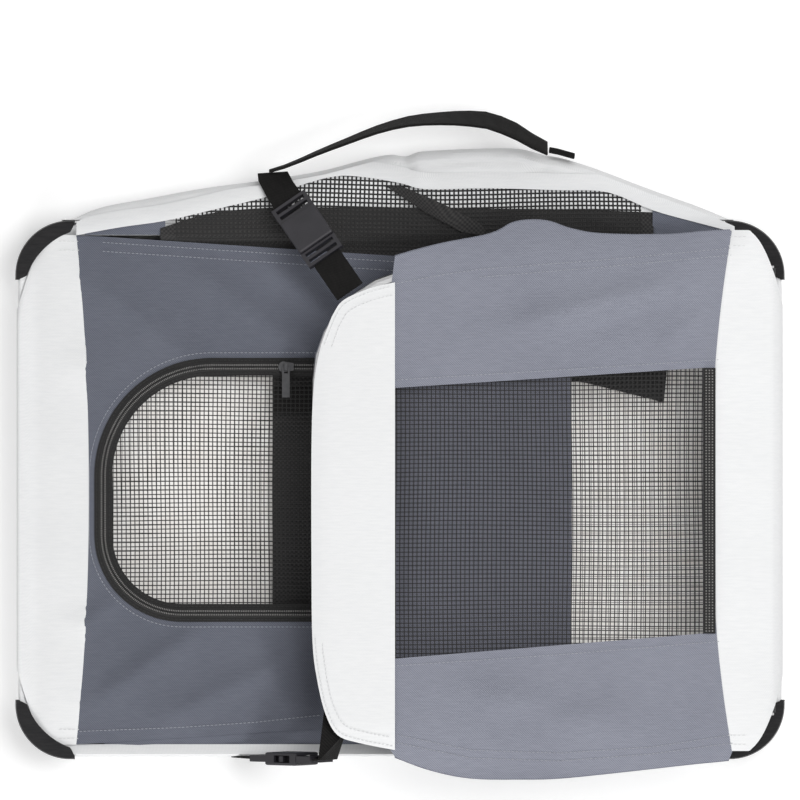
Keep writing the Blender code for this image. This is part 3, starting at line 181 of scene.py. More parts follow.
bpy.ops.mesh.primitive_plane_add(size=FLOOR_SIZE)
floor = bpy.context.object
floor.name = "floor"
floor.location.z = -FLOOR_DROP
paper = bpy.data.materials.new("pale_floor")
paper.use_nodes = True
shader = paper.node_tree.nodes["Principled BSDF"]
shader.inputs["Base Color"].default_value = (FLOOR_SHADE, FLOOR_SHADE, FLOOR_SHADE, 1)
shader.inputs["Roughness"].default_value = 0.9
shader.inputs["Emission Color"].default_value = WHITE
seen = paper.node_tree.nodes.new("ShaderNodeLightPath").outputs["Is Camera Ray"]
paper.node_tree.links.new(math_node(paper.node_tree, "MULTIPLY", seen, FLOOR_GLOW),
                          shader.inputs["Emission Strength"])
floor.data.materials.append(paper)
bpy.context.scene.view_settings.view_transform = "Standard"
print("Room light:", ROOM_LIGHT, "floor glow:", FLOOR_GLOW)

# %% [markdown]
# ## Finishes
#
# Most of the crate is woven. One shader group draws crossing threads from an object's own coordinates,
# so the weave stays on the cloth when a panel swings up. It gives a height for the bump and a shade for
# the colour. Coarse twill, fine white cloth, webbing and felt use the same group with other values.

# %% A shader group for woven threads
SLUB_STRETCH = (90, 700, 300)


def noise_node(tree, place, scale, detail):
    """A noise texture in a tree, read at a place."""
    noise = tree.nodes.new("ShaderNodeTexNoise")
    noise.inputs["Scale"].default_value = scale
    noise.inputs["Detail"].default_value = detail
    tree.links.new(place, noise.inputs["Vector"])
    return noise.outputs["Fac"]


def make_weave_group():
    """Crossing threads with a slant, and slubs that make single threads lighter or darker."""
    group = bpy.data.node_groups.new("woven_threads", "ShaderNodeTree")
    group.interface.new_socket("Vector", in_out="INPUT", socket_type="NodeSocketVector")
    for label in ("Pitch", "Twill", "Slub"):
        group.interface.new_socket(label, in_out="INPUT", socket_type="NodeSocketFloat")
    for label in ("Height", "Shade"):
        group.interface.new_socket(label, in_out="OUTPUT", socket_type="NodeSocketFloat")
    entry = group.nodes.new("NodeGroupInput")
    leave = group.nodes.new("NodeGroupOutput")
    parts = group.nodes.new("ShaderNodeSeparateXYZ")
    group.links.new(entry.outputs["Vector"], parts.inputs[0])

    def calculated(operation, *values):
        return math_node(group, operation, *values)

    turns = calculated("DIVIDE", math.tau, entry.outputs["Pitch"])
    warp_place = calculated("ADD", parts.outputs["X"], parts.outputs["Z"])
    weft_place = calculated("ADD", parts.outputs["Y"], parts.outputs["Z"])
    slant_place = calculated("ADD", warp_place, weft_place)
    warp, weft, slant = [calculated("SINE", calculated("MULTIPLY", place, turns))
                         for place in (warp_place, weft_place, slant_place)]
    straight = calculated("SUBTRACT", 1.0, entry.outputs["Twill"])
    plain = calculated("MULTIPLY", calculated("MULTIPLY", warp, weft), straight)
    twill = calculated("MULTIPLY", slant, entry.outputs["Twill"])
    threads = calculated("MULTIPLY_ADD", calculated("ADD", plain, twill), 0.5, 0.5)
    stretch = group.nodes.new("ShaderNodeVectorMath")
    stretch.operation = "MULTIPLY"
    stretch.inputs[1].default_value = SLUB_STRETCH
    group.links.new(entry.outputs["Vector"], stretch.inputs[0])
    slubs = noise_node(group, stretch.outputs[0], 1.0, 2.0)
    uneven = calculated("MULTIPLY", calculated("SUBTRACT", slubs, 0.5), entry.outputs["Slub"])
    group.links.new(threads, leave.inputs["Height"])
    group.links.new(calculated("ADD", threads, uneven), leave.inputs["Shade"])
    return group


weave_group = make_weave_group()


def new_finish(name, sheen, gleam):
    """A new material, with its node tree and its shader."""
    material = bpy.data.materials.new(name)
    material.use_nodes = True
    shader = material.node_tree.nodes["Principled BSDF"]
    shader.inputs["Sheen Weight"].default_value = sheen
    shader.inputs["Specular IOR Level"].default_value = gleam
    return material, material.node_tree, shader


def object_places(tree, scale, turn=0.0):
    """An object's own coordinates, first as they are and then turned about Z and stretched."""
    places = tree.nodes.new("ShaderNodeTexCoord").outputs["Object"]
    mapping = tree.nodes.new("ShaderNodeMapping")
    mapping.inputs["Rotation"].default_value = (0, 0, turn)
    mapping.inputs["Scale"].default_value = scale
    tree.links.new(places, mapping.inputs["Vector"])
    return places, mapping.outputs["Vector"]


def set_surface(tree, shader, shade, dark, light, gloss, height, bump, depth):
    """A colour between two tones, a roughness and a bump, each from its own output."""
    tint = tree.nodes.new("ShaderNodeMix")
    tint.data_type = "RGBA"
    tint.clamp_factor = True
    tint.inputs["A"].default_value = (*dark, 1)
    tint.inputs["B"].default_value = (*light, 1)
    tree.links.new(shade, tint.inputs["Factor"])
    tree.links.new(tint.outputs["Result"], shader.inputs["Base Color"])
    tree.links.new(gloss, shader.inputs["Roughness"])
    relief = tree.nodes.new("ShaderNodeBump")
    relief.inputs["Strength"].default_value = bump
    relief.inputs["Distance"].default_value = depth
    tree.links.new(height, relief.inputs["Height"])
    tree.links.new(relief.outputs["Normal"], shader.inputs["Normal"])


PATCH_SCALE = 14.0
PATCH_DETAIL = 4.0
ROUGH_SPREAD = 0.2
RELIEF_SHARE = 0.25


def cloth_finish(name, dark, light, pitch, twill, slub=0.5, rough=0.85, bump=0.35, mottle_and_shade=0.10, sheen=0.15,
                 turn=0.0, upright=1.0, gleam=0.3):
    """A woven finish between two colours, with large uneven patches: partly the cloth's own uneven tone,
    partly painted shade of soft folds. The same patches vary the gloss, as handled cloth does.
    """
    material, tree, shader = new_finish(name, sheen, gleam)
    places, turned = object_places(tree, (1, 1, upright), turn)
    threads = tree.nodes.new("ShaderNodeGroup")
    threads.node_tree = weave_group
    for label, value in (("Pitch", pitch), ("Twill", twill), ("Slub", slub)):
        threads.inputs[label].default_value = value
    tree.links.new(turned, threads.inputs["Vector"])
    patches = noise_node(tree, places, PATCH_SCALE, PATCH_DETAIL)
    # Large patches in the colour: partly the cloth's uneven tone, partly painted shade of soft folds.
    tone_and_shade = math_node(tree, "MULTIPLY", math_node(tree, "SUBTRACT", patches, 0.5), mottle_and_shade * 4)
    shade = math_node(tree, "ADD", threads.outputs["Shade"], tone_and_shade)
    gloss = math_node(tree, "MULTIPLY_ADD", patches, ROUGH_SPREAD, rough - ROUGH_SPREAD / 2)
    set_surface(tree, shader, shade, dark, light, gloss, threads.outputs["Height"], bump, pitch * RELIEF_SHARE)
    return material


TWILL_PITCH = 0.0018
WEBBING_PITCH = 0.0017
SEWING_PITCH = 0.0004
GREY = ((0.150, 0.157, 0.195), (0.310, 0.322, 0.378))
BLACK = ((0.003, 0.003, 0.003), (0.017, 0.016, 0.0155))

white_cloth = cloth_finish("white_cloth", (0.70, 0.71, 0.72), (0.88, 0.88, 0.88), 0.0011, 0.2, bump=0.15,
                           mottle_and_shade=0.03)
grey_cloth = cloth_finish("grey_twill", *GREY, TWILL_PITCH, 0.8, slub=0.45, upright=0.0)
hem_cloth = cloth_finish("grey_twill_hem", *GREY, TWILL_PITCH, 0.8, slub=0.45)
# Painted shade: the grey twill darkened, with stronger patches, for the door end, which lies lower in the
# parcel. The wall borders and the grey patches wear it too.
shaded_grey_cloth = cloth_finish("shaded_twill", (0.076, 0.083, 0.108), (0.168, 0.179, 0.218), TWILL_PITCH, 0.8,
                               slub=0.45, mottle_and_shade=0.16, upright=0.0)
# Painted shade: the roof's grey twill, darkened because the roof lies deep inside the parcel.
shaded_roof_cloth = cloth_finish("roof_twill", (0.060, 0.062, 0.078), (0.138, 0.142, 0.172), TWILL_PITCH, 0.7)
# Painted shade: a black for the deepest folds, where the cloth lies in shadow inside the parcel.
shade_black_cloth = cloth_finish("deep_folds", (0.010, 0.010, 0.011), (0.045, 0.043, 0.042), 0.0034, 0.1, slub=0.6)
net_thread = cloth_finish("net_thread", (0.006, 0.006, 0.006), (0.020, 0.019, 0.019), 0.0006, 0.2, rough=0.7)
felt = cloth_finish("black_felt", (0.006, 0.006, 0.007), (0.022, 0.021, 0.022), 0.0009, 0.0, slub=1.6,
                    rough=0.95, bump=0.5, sheen=0.3)
tape_cloth = cloth_finish("zip_tape", (0.008, 0.008, 0.008), (0.026, 0.025, 0.025), 0.0009, 0.9)
webbing = cloth_finish("black_webbing", *BLACK, WEBBING_PITCH, 0.4, slub=0.7, bump=0.7, sheen=0.03, gleam=0.12)
strap_webbing = cloth_finish("strap_webbing", *BLACK, WEBBING_PITCH, 0.4, slub=0.7, bump=0.7, sheen=0.03,
                             turn=0.97, gleam=0.12)
grey_thread = cloth_finish("grey_thread", (0.27, 0.28, 0.32), (0.40, 0.41, 0.45), SEWING_PITCH, 0.9)
coil_thread = cloth_finish("coil_thread", (0.10, 0.10, 0.10), (0.30, 0.29, 0.28), SEWING_PITCH, 0.9)
white_thread = cloth_finish("white_thread", (0.60, 0.61, 0.62), (0.78, 0.78, 0.78), SEWING_PITCH, 0.9)
dark_thread = cloth_finish("dark_thread", (0.01, 0.01, 0.01), (0.03, 0.03, 0.03), SEWING_PITCH, 0.9)
print("Woven finishes:", len(bpy.data.materials))

# %% [markdown]
# Fleece has no threads to see, only a short pile that clumps. Moulded plastic and plated steel are
# smooth: their finish is in how the gloss varies, with faint flow marks on plastic and drawn lines on
# tube. The exact solids that stay in sight get these finishes here.

# %% Fleece, plastic and steel
def noise_finish(name, dark, light, scale, detail, rough, rough_spread, metallic=0.0, bump=0.1, depth=0.0002,
                 stretch=(1, 1, 1), sheen=0.0, gleam=0.5):
    """A finish whose colour, gloss and bump all follow one grain."""
    material, tree, shader = new_finish(name, sheen, gleam)
    shader.inputs["Metallic"].default_value = metallic
    grain = noise_node(tree, object_places(tree, stretch)[1], scale, detail)
    gloss = math_node(tree, "MULTIPLY_ADD", grain, rough_spread, rough - rough_spread / 2)
    set_surface(tree, shader, grain, dark, light, gloss, grain, bump, depth)
    return material


fleece = noise_finish("white_fleece", (0.82, 0.77, 0.72), (1.0, 1.0, 0.99), 60, 8, 0.95, 0.05, bump=0.8,
                      depth=0.002, sheen=0.4)
plastic = noise_finish("buckle_plastic", (0.010, 0.0095, 0.012), (0.030, 0.028, 0.034), 60, 3, 0.42, 0.14,
                       bump=0.05, gleam=0.42)
plug_plastic = noise_finish("plug_plastic", (0.012, 0.012, 0.013), (0.030, 0.030, 0.032), 90, 3, 0.5, 0.15,
                            gleam=0.2)
steel = noise_finish("plated_steel", (0.42, 0.42, 0.43), (0.66, 0.66, 0.66), 120, 5, 0.30, 0.18, metallic=1.0,
                     bump=0.05, stretch=(1, 8, 8))
board = noise_finish("stiff_board", (0.08, 0.08, 0.085), (0.13, 0.13, 0.135), 80, 4, 0.7, 0.2)
zip_metal = noise_finish("zip_metal", (0.035, 0.035, 0.037), (0.090, 0.090, 0.093), 300, 4, 0.5, 0.2,
                         metallic=0.6, gleam=0.2)

corners = [f"{end}_{side}" for end in ("left", "right") for side in ("back", "front")]
SOLID_FINISHES = {steel: ["base_tube_ring", "left_end_frame", "right_end_frame",
                          *[corner + "_bracket" for corner in corners]],
                  plug_plastic: [corner + "_leg_plug" for corner in corners],
                  zip_metal: ["zip_slider", "zip_puller"],
                  board: ["floor_board"],
                  plastic: [f"{strap}_{part}" for strap in ("top", "low")
                            for part in ("buckle_female", "buckle_male", "prong_a", "prong_b")]}
for finish, solids in SOLID_FINISHES.items():
    for solid in solids:
        for slot in bpy.data.objects[solid].material_slots:
            slot.material = finish
print("Exact solids with a better finish:", sum(map(len, SOLID_FINISHES.values())))

# %% [markdown]
# ## Tools for cloth
#
# A cloth panel is drawn as an outline, sliced into a fine grid, given its thickness, and then shaped by
# a height that changes over its length and width. Panels that are sewn together share one height rule,
# so their seams stay closed. A fold is a soft ridge along a line, which fades at both ends.

# %% Outlines, grids and folds
def level_of(node, top=True):
    low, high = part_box(node)
    return high[2] if top else low[2]


def arc(centre_x, centre_y, radius, start, end, steps=12):
    turns = [math.radians(start + (end - start) * step / steps) for step in range(steps + 1)]
    return [(centre_x + radius * math.cos(t), centre_y + radius * math.sin(t)) for t in turns]


def rounded_rectangle(half_x, half_y, corner, steps=12):
    outline = []
    for sign_x, sign_y, start in ((1, 1, 0), (-1, 1, 90), (-1, -1, 180), (1, -1, 270)):
        centre = (sign_x * (half_x - corner), sign_y * (half_y - corner))
        outline += arc(*centre, corner, start, start + 90, steps)
    return outline


def smooth_line(points, steps=8):
    """A smooth line through a few points, by the Catmull-Rom rule."""
    line = []
    for index in range(len(points) - 1):
        before = np.array(points[max(index - 1, 0)], float)
        start = np.array(points[index], float)
        end = np.array(points[index + 1], float)
        after = np.array(points[min(index + 2, len(points) - 1)], float)
        for step in range(steps):
            s = step / steps
            bend = 2 * before - 5 * start + 4 * end - after
            twist = 3 * start - before - 3 * end + after
            line.append(tuple(start + 0.5 * ((end - before) * s + bend * s ** 2 + twist * s ** 3)))
    line.append(tuple(points[-1]))
    return line


def fold(x, y, start, end, width, height):
    """A soft ridge, or with a negative height a valley, along a line."""
    along = np.array(end) - np.array(start)
    length = np.hypot(*along)
    along = along / length
    u = (x - start[0]) * along[0] + (y - start[1]) * along[1]
    v = -(x - start[0]) * along[1] + (y - start[1]) * along[0]
    fade = np.clip(np.minimum(u, length - u) / (0.35 * length) + 0.15, 0, 1)
    return height * np.exp(-(v / width) ** 2) * fade ** 2


def ripples(x, y, size, height, turn=0.0):
    """Small uneven waves, the same each run."""
    a = (x * math.cos(turn) + y * math.sin(turn)) * math.tau / size
    b = (y * math.cos(turn) - x * math.sin(turn)) * math.tau / size
    waves = np.sin(a + 0.7 * np.sin(0.6 * b)) * 0.5 + np.sin(0.63 * b + 1.3 * np.sin(0.41 * a + 1.0)) * 0.5
    return height * waves


def grid_shape(outline, spacing):
    """A flat face with the outline's exact edge, sliced into a grid."""
    shape = bmesh.new()
    shape.faces.new([shape.verts.new((x, y, 0)) for x, y in outline])
    xs = [x for x, _ in outline]
    ys = [y for _, y in outline]
    for axis, values in ((0, xs), (1, ys)):
        count = int((max(values) - min(values)) / spacing)
        for step in range(1, count + 1):
            place = min(values) + (max(values) - min(values)) * step / (count + 1)
            point = (place, 0, 0) if axis == 0 else (0, place, 0)
            normal = (1, 0, 0) if axis == 0 else (0, 1, 0)
            everything = list(shape.verts) + list(shape.edges) + list(shape.faces)
            bmesh.ops.bisect_plane(shape, geom=everything, dist=1e-6, plane_co=point, plane_no=normal)
    return shape


SHARP_ANGLE = 0.7


def softened(piece, angle=SHARP_ANGLE):
    """Smooth shading, but for edges that are sharper than an angle."""
    piece.data.shade_smooth()
    piece.data.set_sharp_from_angle(angle=angle)


def to_object(name, shape, material, smooth=True):
    mesh = bpy.data.meshes.new(name)
    shape.to_mesh(mesh)
    shape.free()
    thing = bpy.data.objects.new(name, mesh)
    bpy.context.scene.collection.objects.link(thing)
    mesh.materials.append(material)
    if smooth:
        softened(thing)
    return thing


def baked(thing):
    """The object with its modifiers made into a plain mesh, at the origin and under the same name."""
    seen = thing.evaluated_get(bpy.context.evaluated_depsgraph_get())
    mesh = bpy.data.meshes.new_from_object(seen)
    name = thing.name
    result = bpy.data.objects.new(name + "_made", mesh)
    bpy.context.scene.collection.objects.link(result)
    bpy.data.objects.remove(thing, do_unlink=True)
    result.name = name
    return result


def subdivided(piece, levels, kind="CATMULL_CLARK"):
    """The same piece with finer faces, rounded off or, with the kind SIMPLE, left where they are."""
    step = piece.modifiers.new("finer", "SUBSURF")
    step.subdivision_type = kind
    step.levels = levels
    step.render_levels = levels
    return baked(piece)


def points_of(piece):
    points = np.empty(len(piece.data.vertices) * 3)
    piece.data.vertices.foreach_get("co", points)
    return points.reshape(-1, 3)


def set_points(piece, points):
    piece.data.vertices.foreach_set("co", points.ravel())
    piece.data.update()


def height_at(height, x, y):
    """What a height rule gives at one place."""
    return float(height(np.array([x]), np.array([y]))[0])


def extruded(shape, height):
    """Draws a flat shape up into a closed solid. The solid is built in the shape's own order, so that each
    run gives the same mesh, and the mat below swells the same way."""
    faces = list(shape.faces)
    rim = [edge for edge in shape.edges if len(edge.link_faces) == 1]
    top = {}
    for vertex in list(shape.verts):
        top[vertex] = shape.verts.new((vertex.co.x, vertex.co.y, vertex.co.z + height))
    for face in faces:
        shape.faces.new([top[vertex] for vertex in face.verts])
    for edge in rim:
        first, second = edge.verts
        shape.faces.new((first, second, top[second], top[first]))
    bmesh.ops.recalc_face_normals(shape, faces=shape.faces)


def skinned(name, rows, material, section=True, ring=False):
    """A surface through rows of points. Each row is a closed section, whose run is a ring or else has
    capped ends. Without the section, each row is open and the surface is a sheet."""
    shape = bmesh.new()
    rows = [[shape.verts.new(point) for point in row] for row in rows]
    for first, second in zip(rows, rows[1:] + (rows[:1] if ring else [])):
        for index in range(len(first) if section else len(first) - 1):
            after = (index + 1) % len(first)
            shape.faces.new((first[index], first[after], second[after], second[index]))
    if section and not ring:
        shape.faces.new(rows[0])
        shape.faces.new(rows[-1])
    bmesh.ops.recalc_face_normals(shape, faces=shape.faces)
    return to_object(name, shape, material)


def bent_sheet(name, rows, wall, material):
    """A sheet through rows of points, with the cloth's thickness."""
    sheet = skinned(name, rows, material, section=False)
    step = sheet.modifiers.new("thickness", "SOLIDIFY")
    step.thickness = wall
    step.offset = 0
    sheet = baked(sheet)
    sheet.data.shade_smooth()
    return sheet


def cut_with(target, outline, low, high):
    """Cuts an outline's shape out of a piece."""
    shape = bmesh.new()
    shape.faces.new([shape.verts.new((x, y, low)) for x, y in outline])
    extruded(shape, high - low)
    cutter = to_object("cutter", shape, target.data.materials[0], smooth=False)
    step = target.modifiers.new("cut", "BOOLEAN")
    step.object = cutter
    step.operation = "DIFFERENCE"
    step.solver = "EXACT"
    result = baked(target)
    bpy.data.objects.remove(cutter, do_unlink=True)
    return result


def cloth(name, outline, low, thickness, material, height=None, spacing=0.005, hole=None):
    """A cloth panel with real thickness, shaped by its height rule."""
    shape = grid_shape(outline, spacing)
    extruded(shape, thickness)
    panel = to_object(name, shape, material)
    if hole:
        panel = cut_with(panel, hole, -thickness, 2 * thickness)
    points = points_of(panel)
    points[:, 2] += low
    if height:
        points[:, 2] += height(points[:, 0], points[:, 1])
    set_points(panel, points)
    softened(panel)
    return panel


# %% [markdown]
# ## Threads, stitches and teeth by Geometry Nodes
#
# Three things repeat along lines: the threads of a net, the stitches of a seam and the teeth of a zip.
# A small Geometry Nodes tree turns lines into threads with a flat section. Another sets a copy of a
# small solid every few millimetres along a line, turned to follow it. Both end as plain meshes.

# %% Geometry Nodes trees
def start_tree(name, numbers):
    tree = bpy.data.node_groups.new(name, "GeometryNodeTree")
    tree.interface.new_socket("Geometry", in_out="INPUT", socket_type="NodeSocketGeometry")
    tree.interface.new_socket("Finish", in_out="INPUT", socket_type="NodeSocketMaterial")
    for label in numbers:
        tree.interface.new_socket(label, in_out="INPUT", socket_type="NodeSocketFloat")
    tree.interface.new_socket("Geometry", in_out="OUTPUT", socket_type="NodeSocketGeometry")
    return tree, tree.nodes.new("NodeGroupInput"), tree.nodes.new("NodeGroupOutput")


def end_tree(tree, entry, leave, geometry):
    real = tree.nodes.new("GeometryNodeRealizeInstances")
    finish = tree.nodes.new("GeometryNodeSetMaterial")
    tree.links.new(geometry, real.inputs["Geometry"])
    tree.links.new(real.outputs["Geometry"], finish.inputs["Geometry"])
    tree.links.new(entry.outputs["Finish"], finish.inputs["Material"])
    tree.links.new(finish.outputs["Geometry"], leave.inputs["Geometry"])


def make_thread_tree():
    """Lines into threads with a flat, four-sided section that lies level."""
    tree, entry, leave = start_tree("threads_along_lines", ("Width", "Height"))
    line = tree.nodes.new("GeometryNodeMeshToCurve")
    level = tree.nodes.new("GeometryNodeSetCurveNormal")
    level.mode = "Z_UP"
    section = tree.nodes.new("GeometryNodeCurvePrimitiveQuadrilateral")
    body = tree.nodes.new("GeometryNodeCurveToMesh")
    body.inputs["Fill Caps"].default_value = True
    tree.links.new(entry.outputs["Geometry"], line.inputs["Mesh"])
    tree.links.new(line.outputs["Curve"], level.inputs["Curve"])
    tree.links.new(entry.outputs["Height"], section.inputs["Height"])
    tree.links.new(entry.outputs["Width"], section.inputs["Width"])
    tree.links.new(level.outputs["Curve"], body.inputs["Curve"])
    tree.links.new(section.outputs["Curve"], body.inputs["Profile Curve"])
    end_tree(tree, entry, leave, body.outputs["Mesh"])
    return tree


def make_copy_tree(name, rounded):
    """A small solid set every so far along the lines, turned to follow them."""
    tree, entry, leave = start_tree(name, ("Pitch", "Length", "Across", "Thick"))
    line = tree.nodes.new("GeometryNodeMeshToCurve")
    spaced = tree.nodes.new("GeometryNodeResampleCurve")
    spaced.mode = "LENGTH"
    tangent = tree.nodes.new("GeometryNodeInputTangent")
    turn = tree.nodes.new("FunctionNodeAlignRotationToVector")
    turn.axis = "X"
    size = tree.nodes.new("ShaderNodeCombineXYZ")
    if rounded:
        solid = tree.nodes.new("GeometryNodeMeshUVSphere")
        solid.inputs["Segments"].default_value = 6
        solid.inputs["Rings"].default_value = 4
        solid.inputs["Radius"].default_value = 0.5
    else:
        solid = tree.nodes.new("GeometryNodeMeshCube")
        solid.inputs["Size"].default_value = (1, 1, 1)
    copies = tree.nodes.new("GeometryNodeInstanceOnPoints")
    tree.links.new(entry.outputs["Geometry"], line.inputs["Mesh"])
    tree.links.new(line.outputs["Curve"], spaced.inputs["Curve"])
    tree.links.new(entry.outputs["Pitch"], spaced.inputs["Length"])
    tree.links.new(tangent.outputs["Tangent"], turn.inputs["Vector"])
    for label, axis in (("Length", "X"), ("Across", "Y"), ("Thick", "Z")):
        tree.links.new(entry.outputs[label], size.inputs[axis])
    tree.links.new(spaced.outputs["Curve"], copies.inputs["Points"])
    tree.links.new(solid.outputs["Mesh"], copies.inputs["Instance"])
    tree.links.new(turn.outputs["Rotation"], copies.inputs["Rotation"])
    tree.links.new(size.outputs["Vector"], copies.inputs["Scale"])
    end_tree(tree, entry, leave, copies.outputs["Instances"])
    return tree


thread_tree = make_thread_tree()
stitch_tree = make_copy_tree("stitches_along_lines", True)
tooth_tree = make_copy_tree("teeth_along_lines", False)


def run_tree(name, lines, tree, material, **sizes):
    """Runs a tree on lines of points and keeps its result as a plain mesh."""
    vertices = []
    edges = []
    for line in lines:
        first = len(vertices)
        vertices += [tuple(point) for point in line]
        edges += [(first + index, first + index + 1) for index in range(len(line) - 1)]
    mesh = bpy.data.meshes.new(name)
    mesh.from_pydata(vertices, edges, [])
    thing = bpy.data.objects.new(name, mesh)
    bpy.context.scene.collection.objects.link(thing)
    step = thing.modifiers.new("tree", "NODES")
    step.node_group = tree
    values = {"Finish": material, **sizes}
    for socket in tree.interface.items_tree:
        if socket.in_out == "INPUT" and socket.name in values:
            step[socket.identifier] = values[socket.name]
    return baked(thing)


def raised(line, height, lift):
    """A drawn line laid on a height rule."""
    xs = np.array([x for x, _ in line])
    ys = np.array([y for _, y in line])
    zs = height(xs, ys) + lift
    return list(zip(xs, ys, np.broadcast_to(zs, xs.shape)))


def finer(line, step=0.006):
    """The same line with points no further apart than the step."""
    result = []
    for (ax, ay), (bx, by) in zip(line, line[1:]):
        count = max(1, int(math.hypot(bx - ax, by - ay) / step))
        result += [(ax + (bx - ax) * i / count, ay + (by - ay) * i / count) for i in range(count)]
    return result + [line[-1]]


STITCH_PITCH = 0.0032
STITCH_LENGTH = 0.0026
STITCH_WIDTH = 0.0007


def stitched(name, rows, material):
    """Rows of points made into rows of stitches."""
    return run_tree(name, rows, stitch_tree, material, Pitch=STITCH_PITCH, Length=STITCH_LENGTH,
                    Across=STITCH_WIDTH, Thick=STITCH_WIDTH)


def sew(name, lines, height, lift, body, material):
    """Rows of stitches on a panel, which ride on the panel's body."""
    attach(stitched(name, [raised(finer(line), height, lift) for line in lines], material), body)


def runs_inside(outline, fixed, across):
    """The stretches of a straight line that lie within a closed outline."""
    crossings = []
    for (ax, ay), (bx, by) in zip(outline, outline[1:] + outline[:1]):
        if across:
            ax, ay, bx, by = ay, ax, by, bx
        if (ax > fixed) != (bx > fixed):
            crossings.append(ay + (by - ay) * (fixed - ax) / (bx - ax))
    crossings.sort()
    return list(zip(crossings[::2], crossings[1::2]))


NET_PITCH = 0.0034
NET_WIDTH = 0.00076
NET_HEIGHT = 0.0004
LOWER_THREADS = 0.5
UPPER_THREADS = 0.9


def net(name, outline, height, low, pitch=NET_PITCH, width=NET_WIDTH, thick=NET_HEIGHT, step=0.008,
        waver=0.0004):
    """A net of crossing threads inside an outline, which sags by its height rule. The real threads are
    finer than these, so these throw no shadow on the cloth behind them."""
    rows = []
    for across, layer in ((False, LOWER_THREADS), (True, UPPER_THREADS)):
        values = [y if across else x for x, y in outline]
        first = math.ceil(min(values) / pitch)
        for index in range(first, int(math.floor(max(values) / pitch)) + 1):
            fixed = index * pitch
            for start, end in runs_inside(outline, fixed, across):
                if end - start < pitch:
                    continue
                count = max(1, round((end - start) / step))
                line = []
                for place in range(count + 1):
                    moving = start + (end - start) * place / count
                    sway = waver * (math.sin(moving * 31 + fixed * 17) + math.sin(moving * 13 - fixed * 41 + 1))
                    line.append((moving, fixed + sway) if across else (fixed + sway, moving))
                rows.append(raised(line, height, low + thick * layer))
    threads = run_tree(name, rows, thread_tree, net_thread, Width=width, Height=thick)
    threads.visible_shadow = False
    threads.visible_diffuse = False
    return threads


# %% [markdown]
# ## Softened copies
#
# Webbing and straps already have their true path in the fixed model. A copy of that solid is welded,
# its edges are rounded and it is cut finer, so that it shades softly and can be reshaped.
# The original solid is hidden behind it.

# %% Copies of soft solids
WELD = 1e-5
FLAT_ANGLE = 0.02


def soft_copy(name, node, material, body, edge, shaping=None):
    """A rounded, finer copy of a soft solid, which stands for it."""
    shape = bmesh.new()
    shape.from_mesh(bpy.data.objects[node].data)
    bmesh.ops.remove_doubles(shape, verts=shape.verts, dist=WELD)
    bmesh.ops.dissolve_limit(shape, angle_limit=FLAT_ANGLE, verts=shape.verts, edges=shape.edges)
    piece = to_object(name, shape, material)
    rounding = piece.modifiers.new("edge", "BEVEL")
    rounding.width = edge
    rounding.segments = 2
    rounding.limit_method = "ANGLE"
    rounding.angle_limit = SHARP_ANGLE
    piece = subdivided(piece, 2, "SIMPLE")
    if shaping:
        set_points(piece, shaping(points_of(piece)))
    softened(piece)
    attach(piece, body)
    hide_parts(node)
    return piece


# %% [markdown]
# ## The base
#
# The base is a shallow tray: a white floor cloth and a white band round the tube ring, with a stiff
# board and a fleece mat inside. The mat is padded, so it is swollen by a cloth simulation from a flat
# slab, which gives it a crowned top and rounded sides.

# %% Floor cloth and band
base_low, base_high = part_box("base_band")
band_half_x, band_half_y, band_top = base_high
band_low = base_low[2]
BAND_CORNER = 0.040
BAND_WALL = 0.0024
tray = rounded_rectangle(band_half_x, band_half_y, BAND_CORNER)
floor_cloth = cloth("floor_sheet", tray, 0.0, level_of("floor_cloth"), white_cloth, spacing=0.02)
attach(floor_cloth, "base")
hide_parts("floor_cloth")


def make_band():
    """The white side band: a wall that bulges between its seams, with puckers at its foot."""
    turns = rounded_rectangle(band_half_x, band_half_y, BAND_CORNER, 16)
    line = finer(turns + [(band_half_x, band_half_y - BAND_CORNER)])[:-1]
    wall = BAND_WALL
    height = band_top - band_low
    rings = []
    for index, (x, y) in enumerate(line):
        ahead = Vector(line[(index + 1) % len(line)])
        behind = Vector(line[index - 1])
        run = (ahead - behind).normalized()
        out = Vector((run.y, -run.x))
        pucker = 0.0005 * math.sin(index * 1.9) + 0.0003 * math.sin(index * 0.7)
        section = [(0.0, 0.0), (0.0006 + pucker, 0.25), (0.0010 + pucker / 2, 0.55), (0.0005, 0.85),
                   (0.0, 0.97), (-wall * 0.5, 1.0), (-wall, 0.99), (-0.0056, 0.95), (-0.0088, 0.905),
                   (-0.0088, 0.875), (-0.0056, 0.915), (-wall, 0.94), (-wall, 0.5), (-wall, 0.0)]
        rings.append([(x + out.x * o, y + out.y * o, band_low + height * h) for o, h in section])
    return skinned("side_band", rings, white_cloth, ring=True)


band = make_band()
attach(band, "base")
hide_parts("base_band")

# %% The padded mat
mat_low, mat_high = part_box("fleece_mat")
mat_thickness = mat_high[2] - mat_low[2]
MAT_INSET = 0.003
MAT_CORNER = 0.016
MAT_GAP = 0.0002
SLAB_SHARE = 0.55
SLAB_LIFT = 0.2
SWELL_FORCE = 4.0
SWELL_FRAMES = 14
SWELL_CAP = 0.003


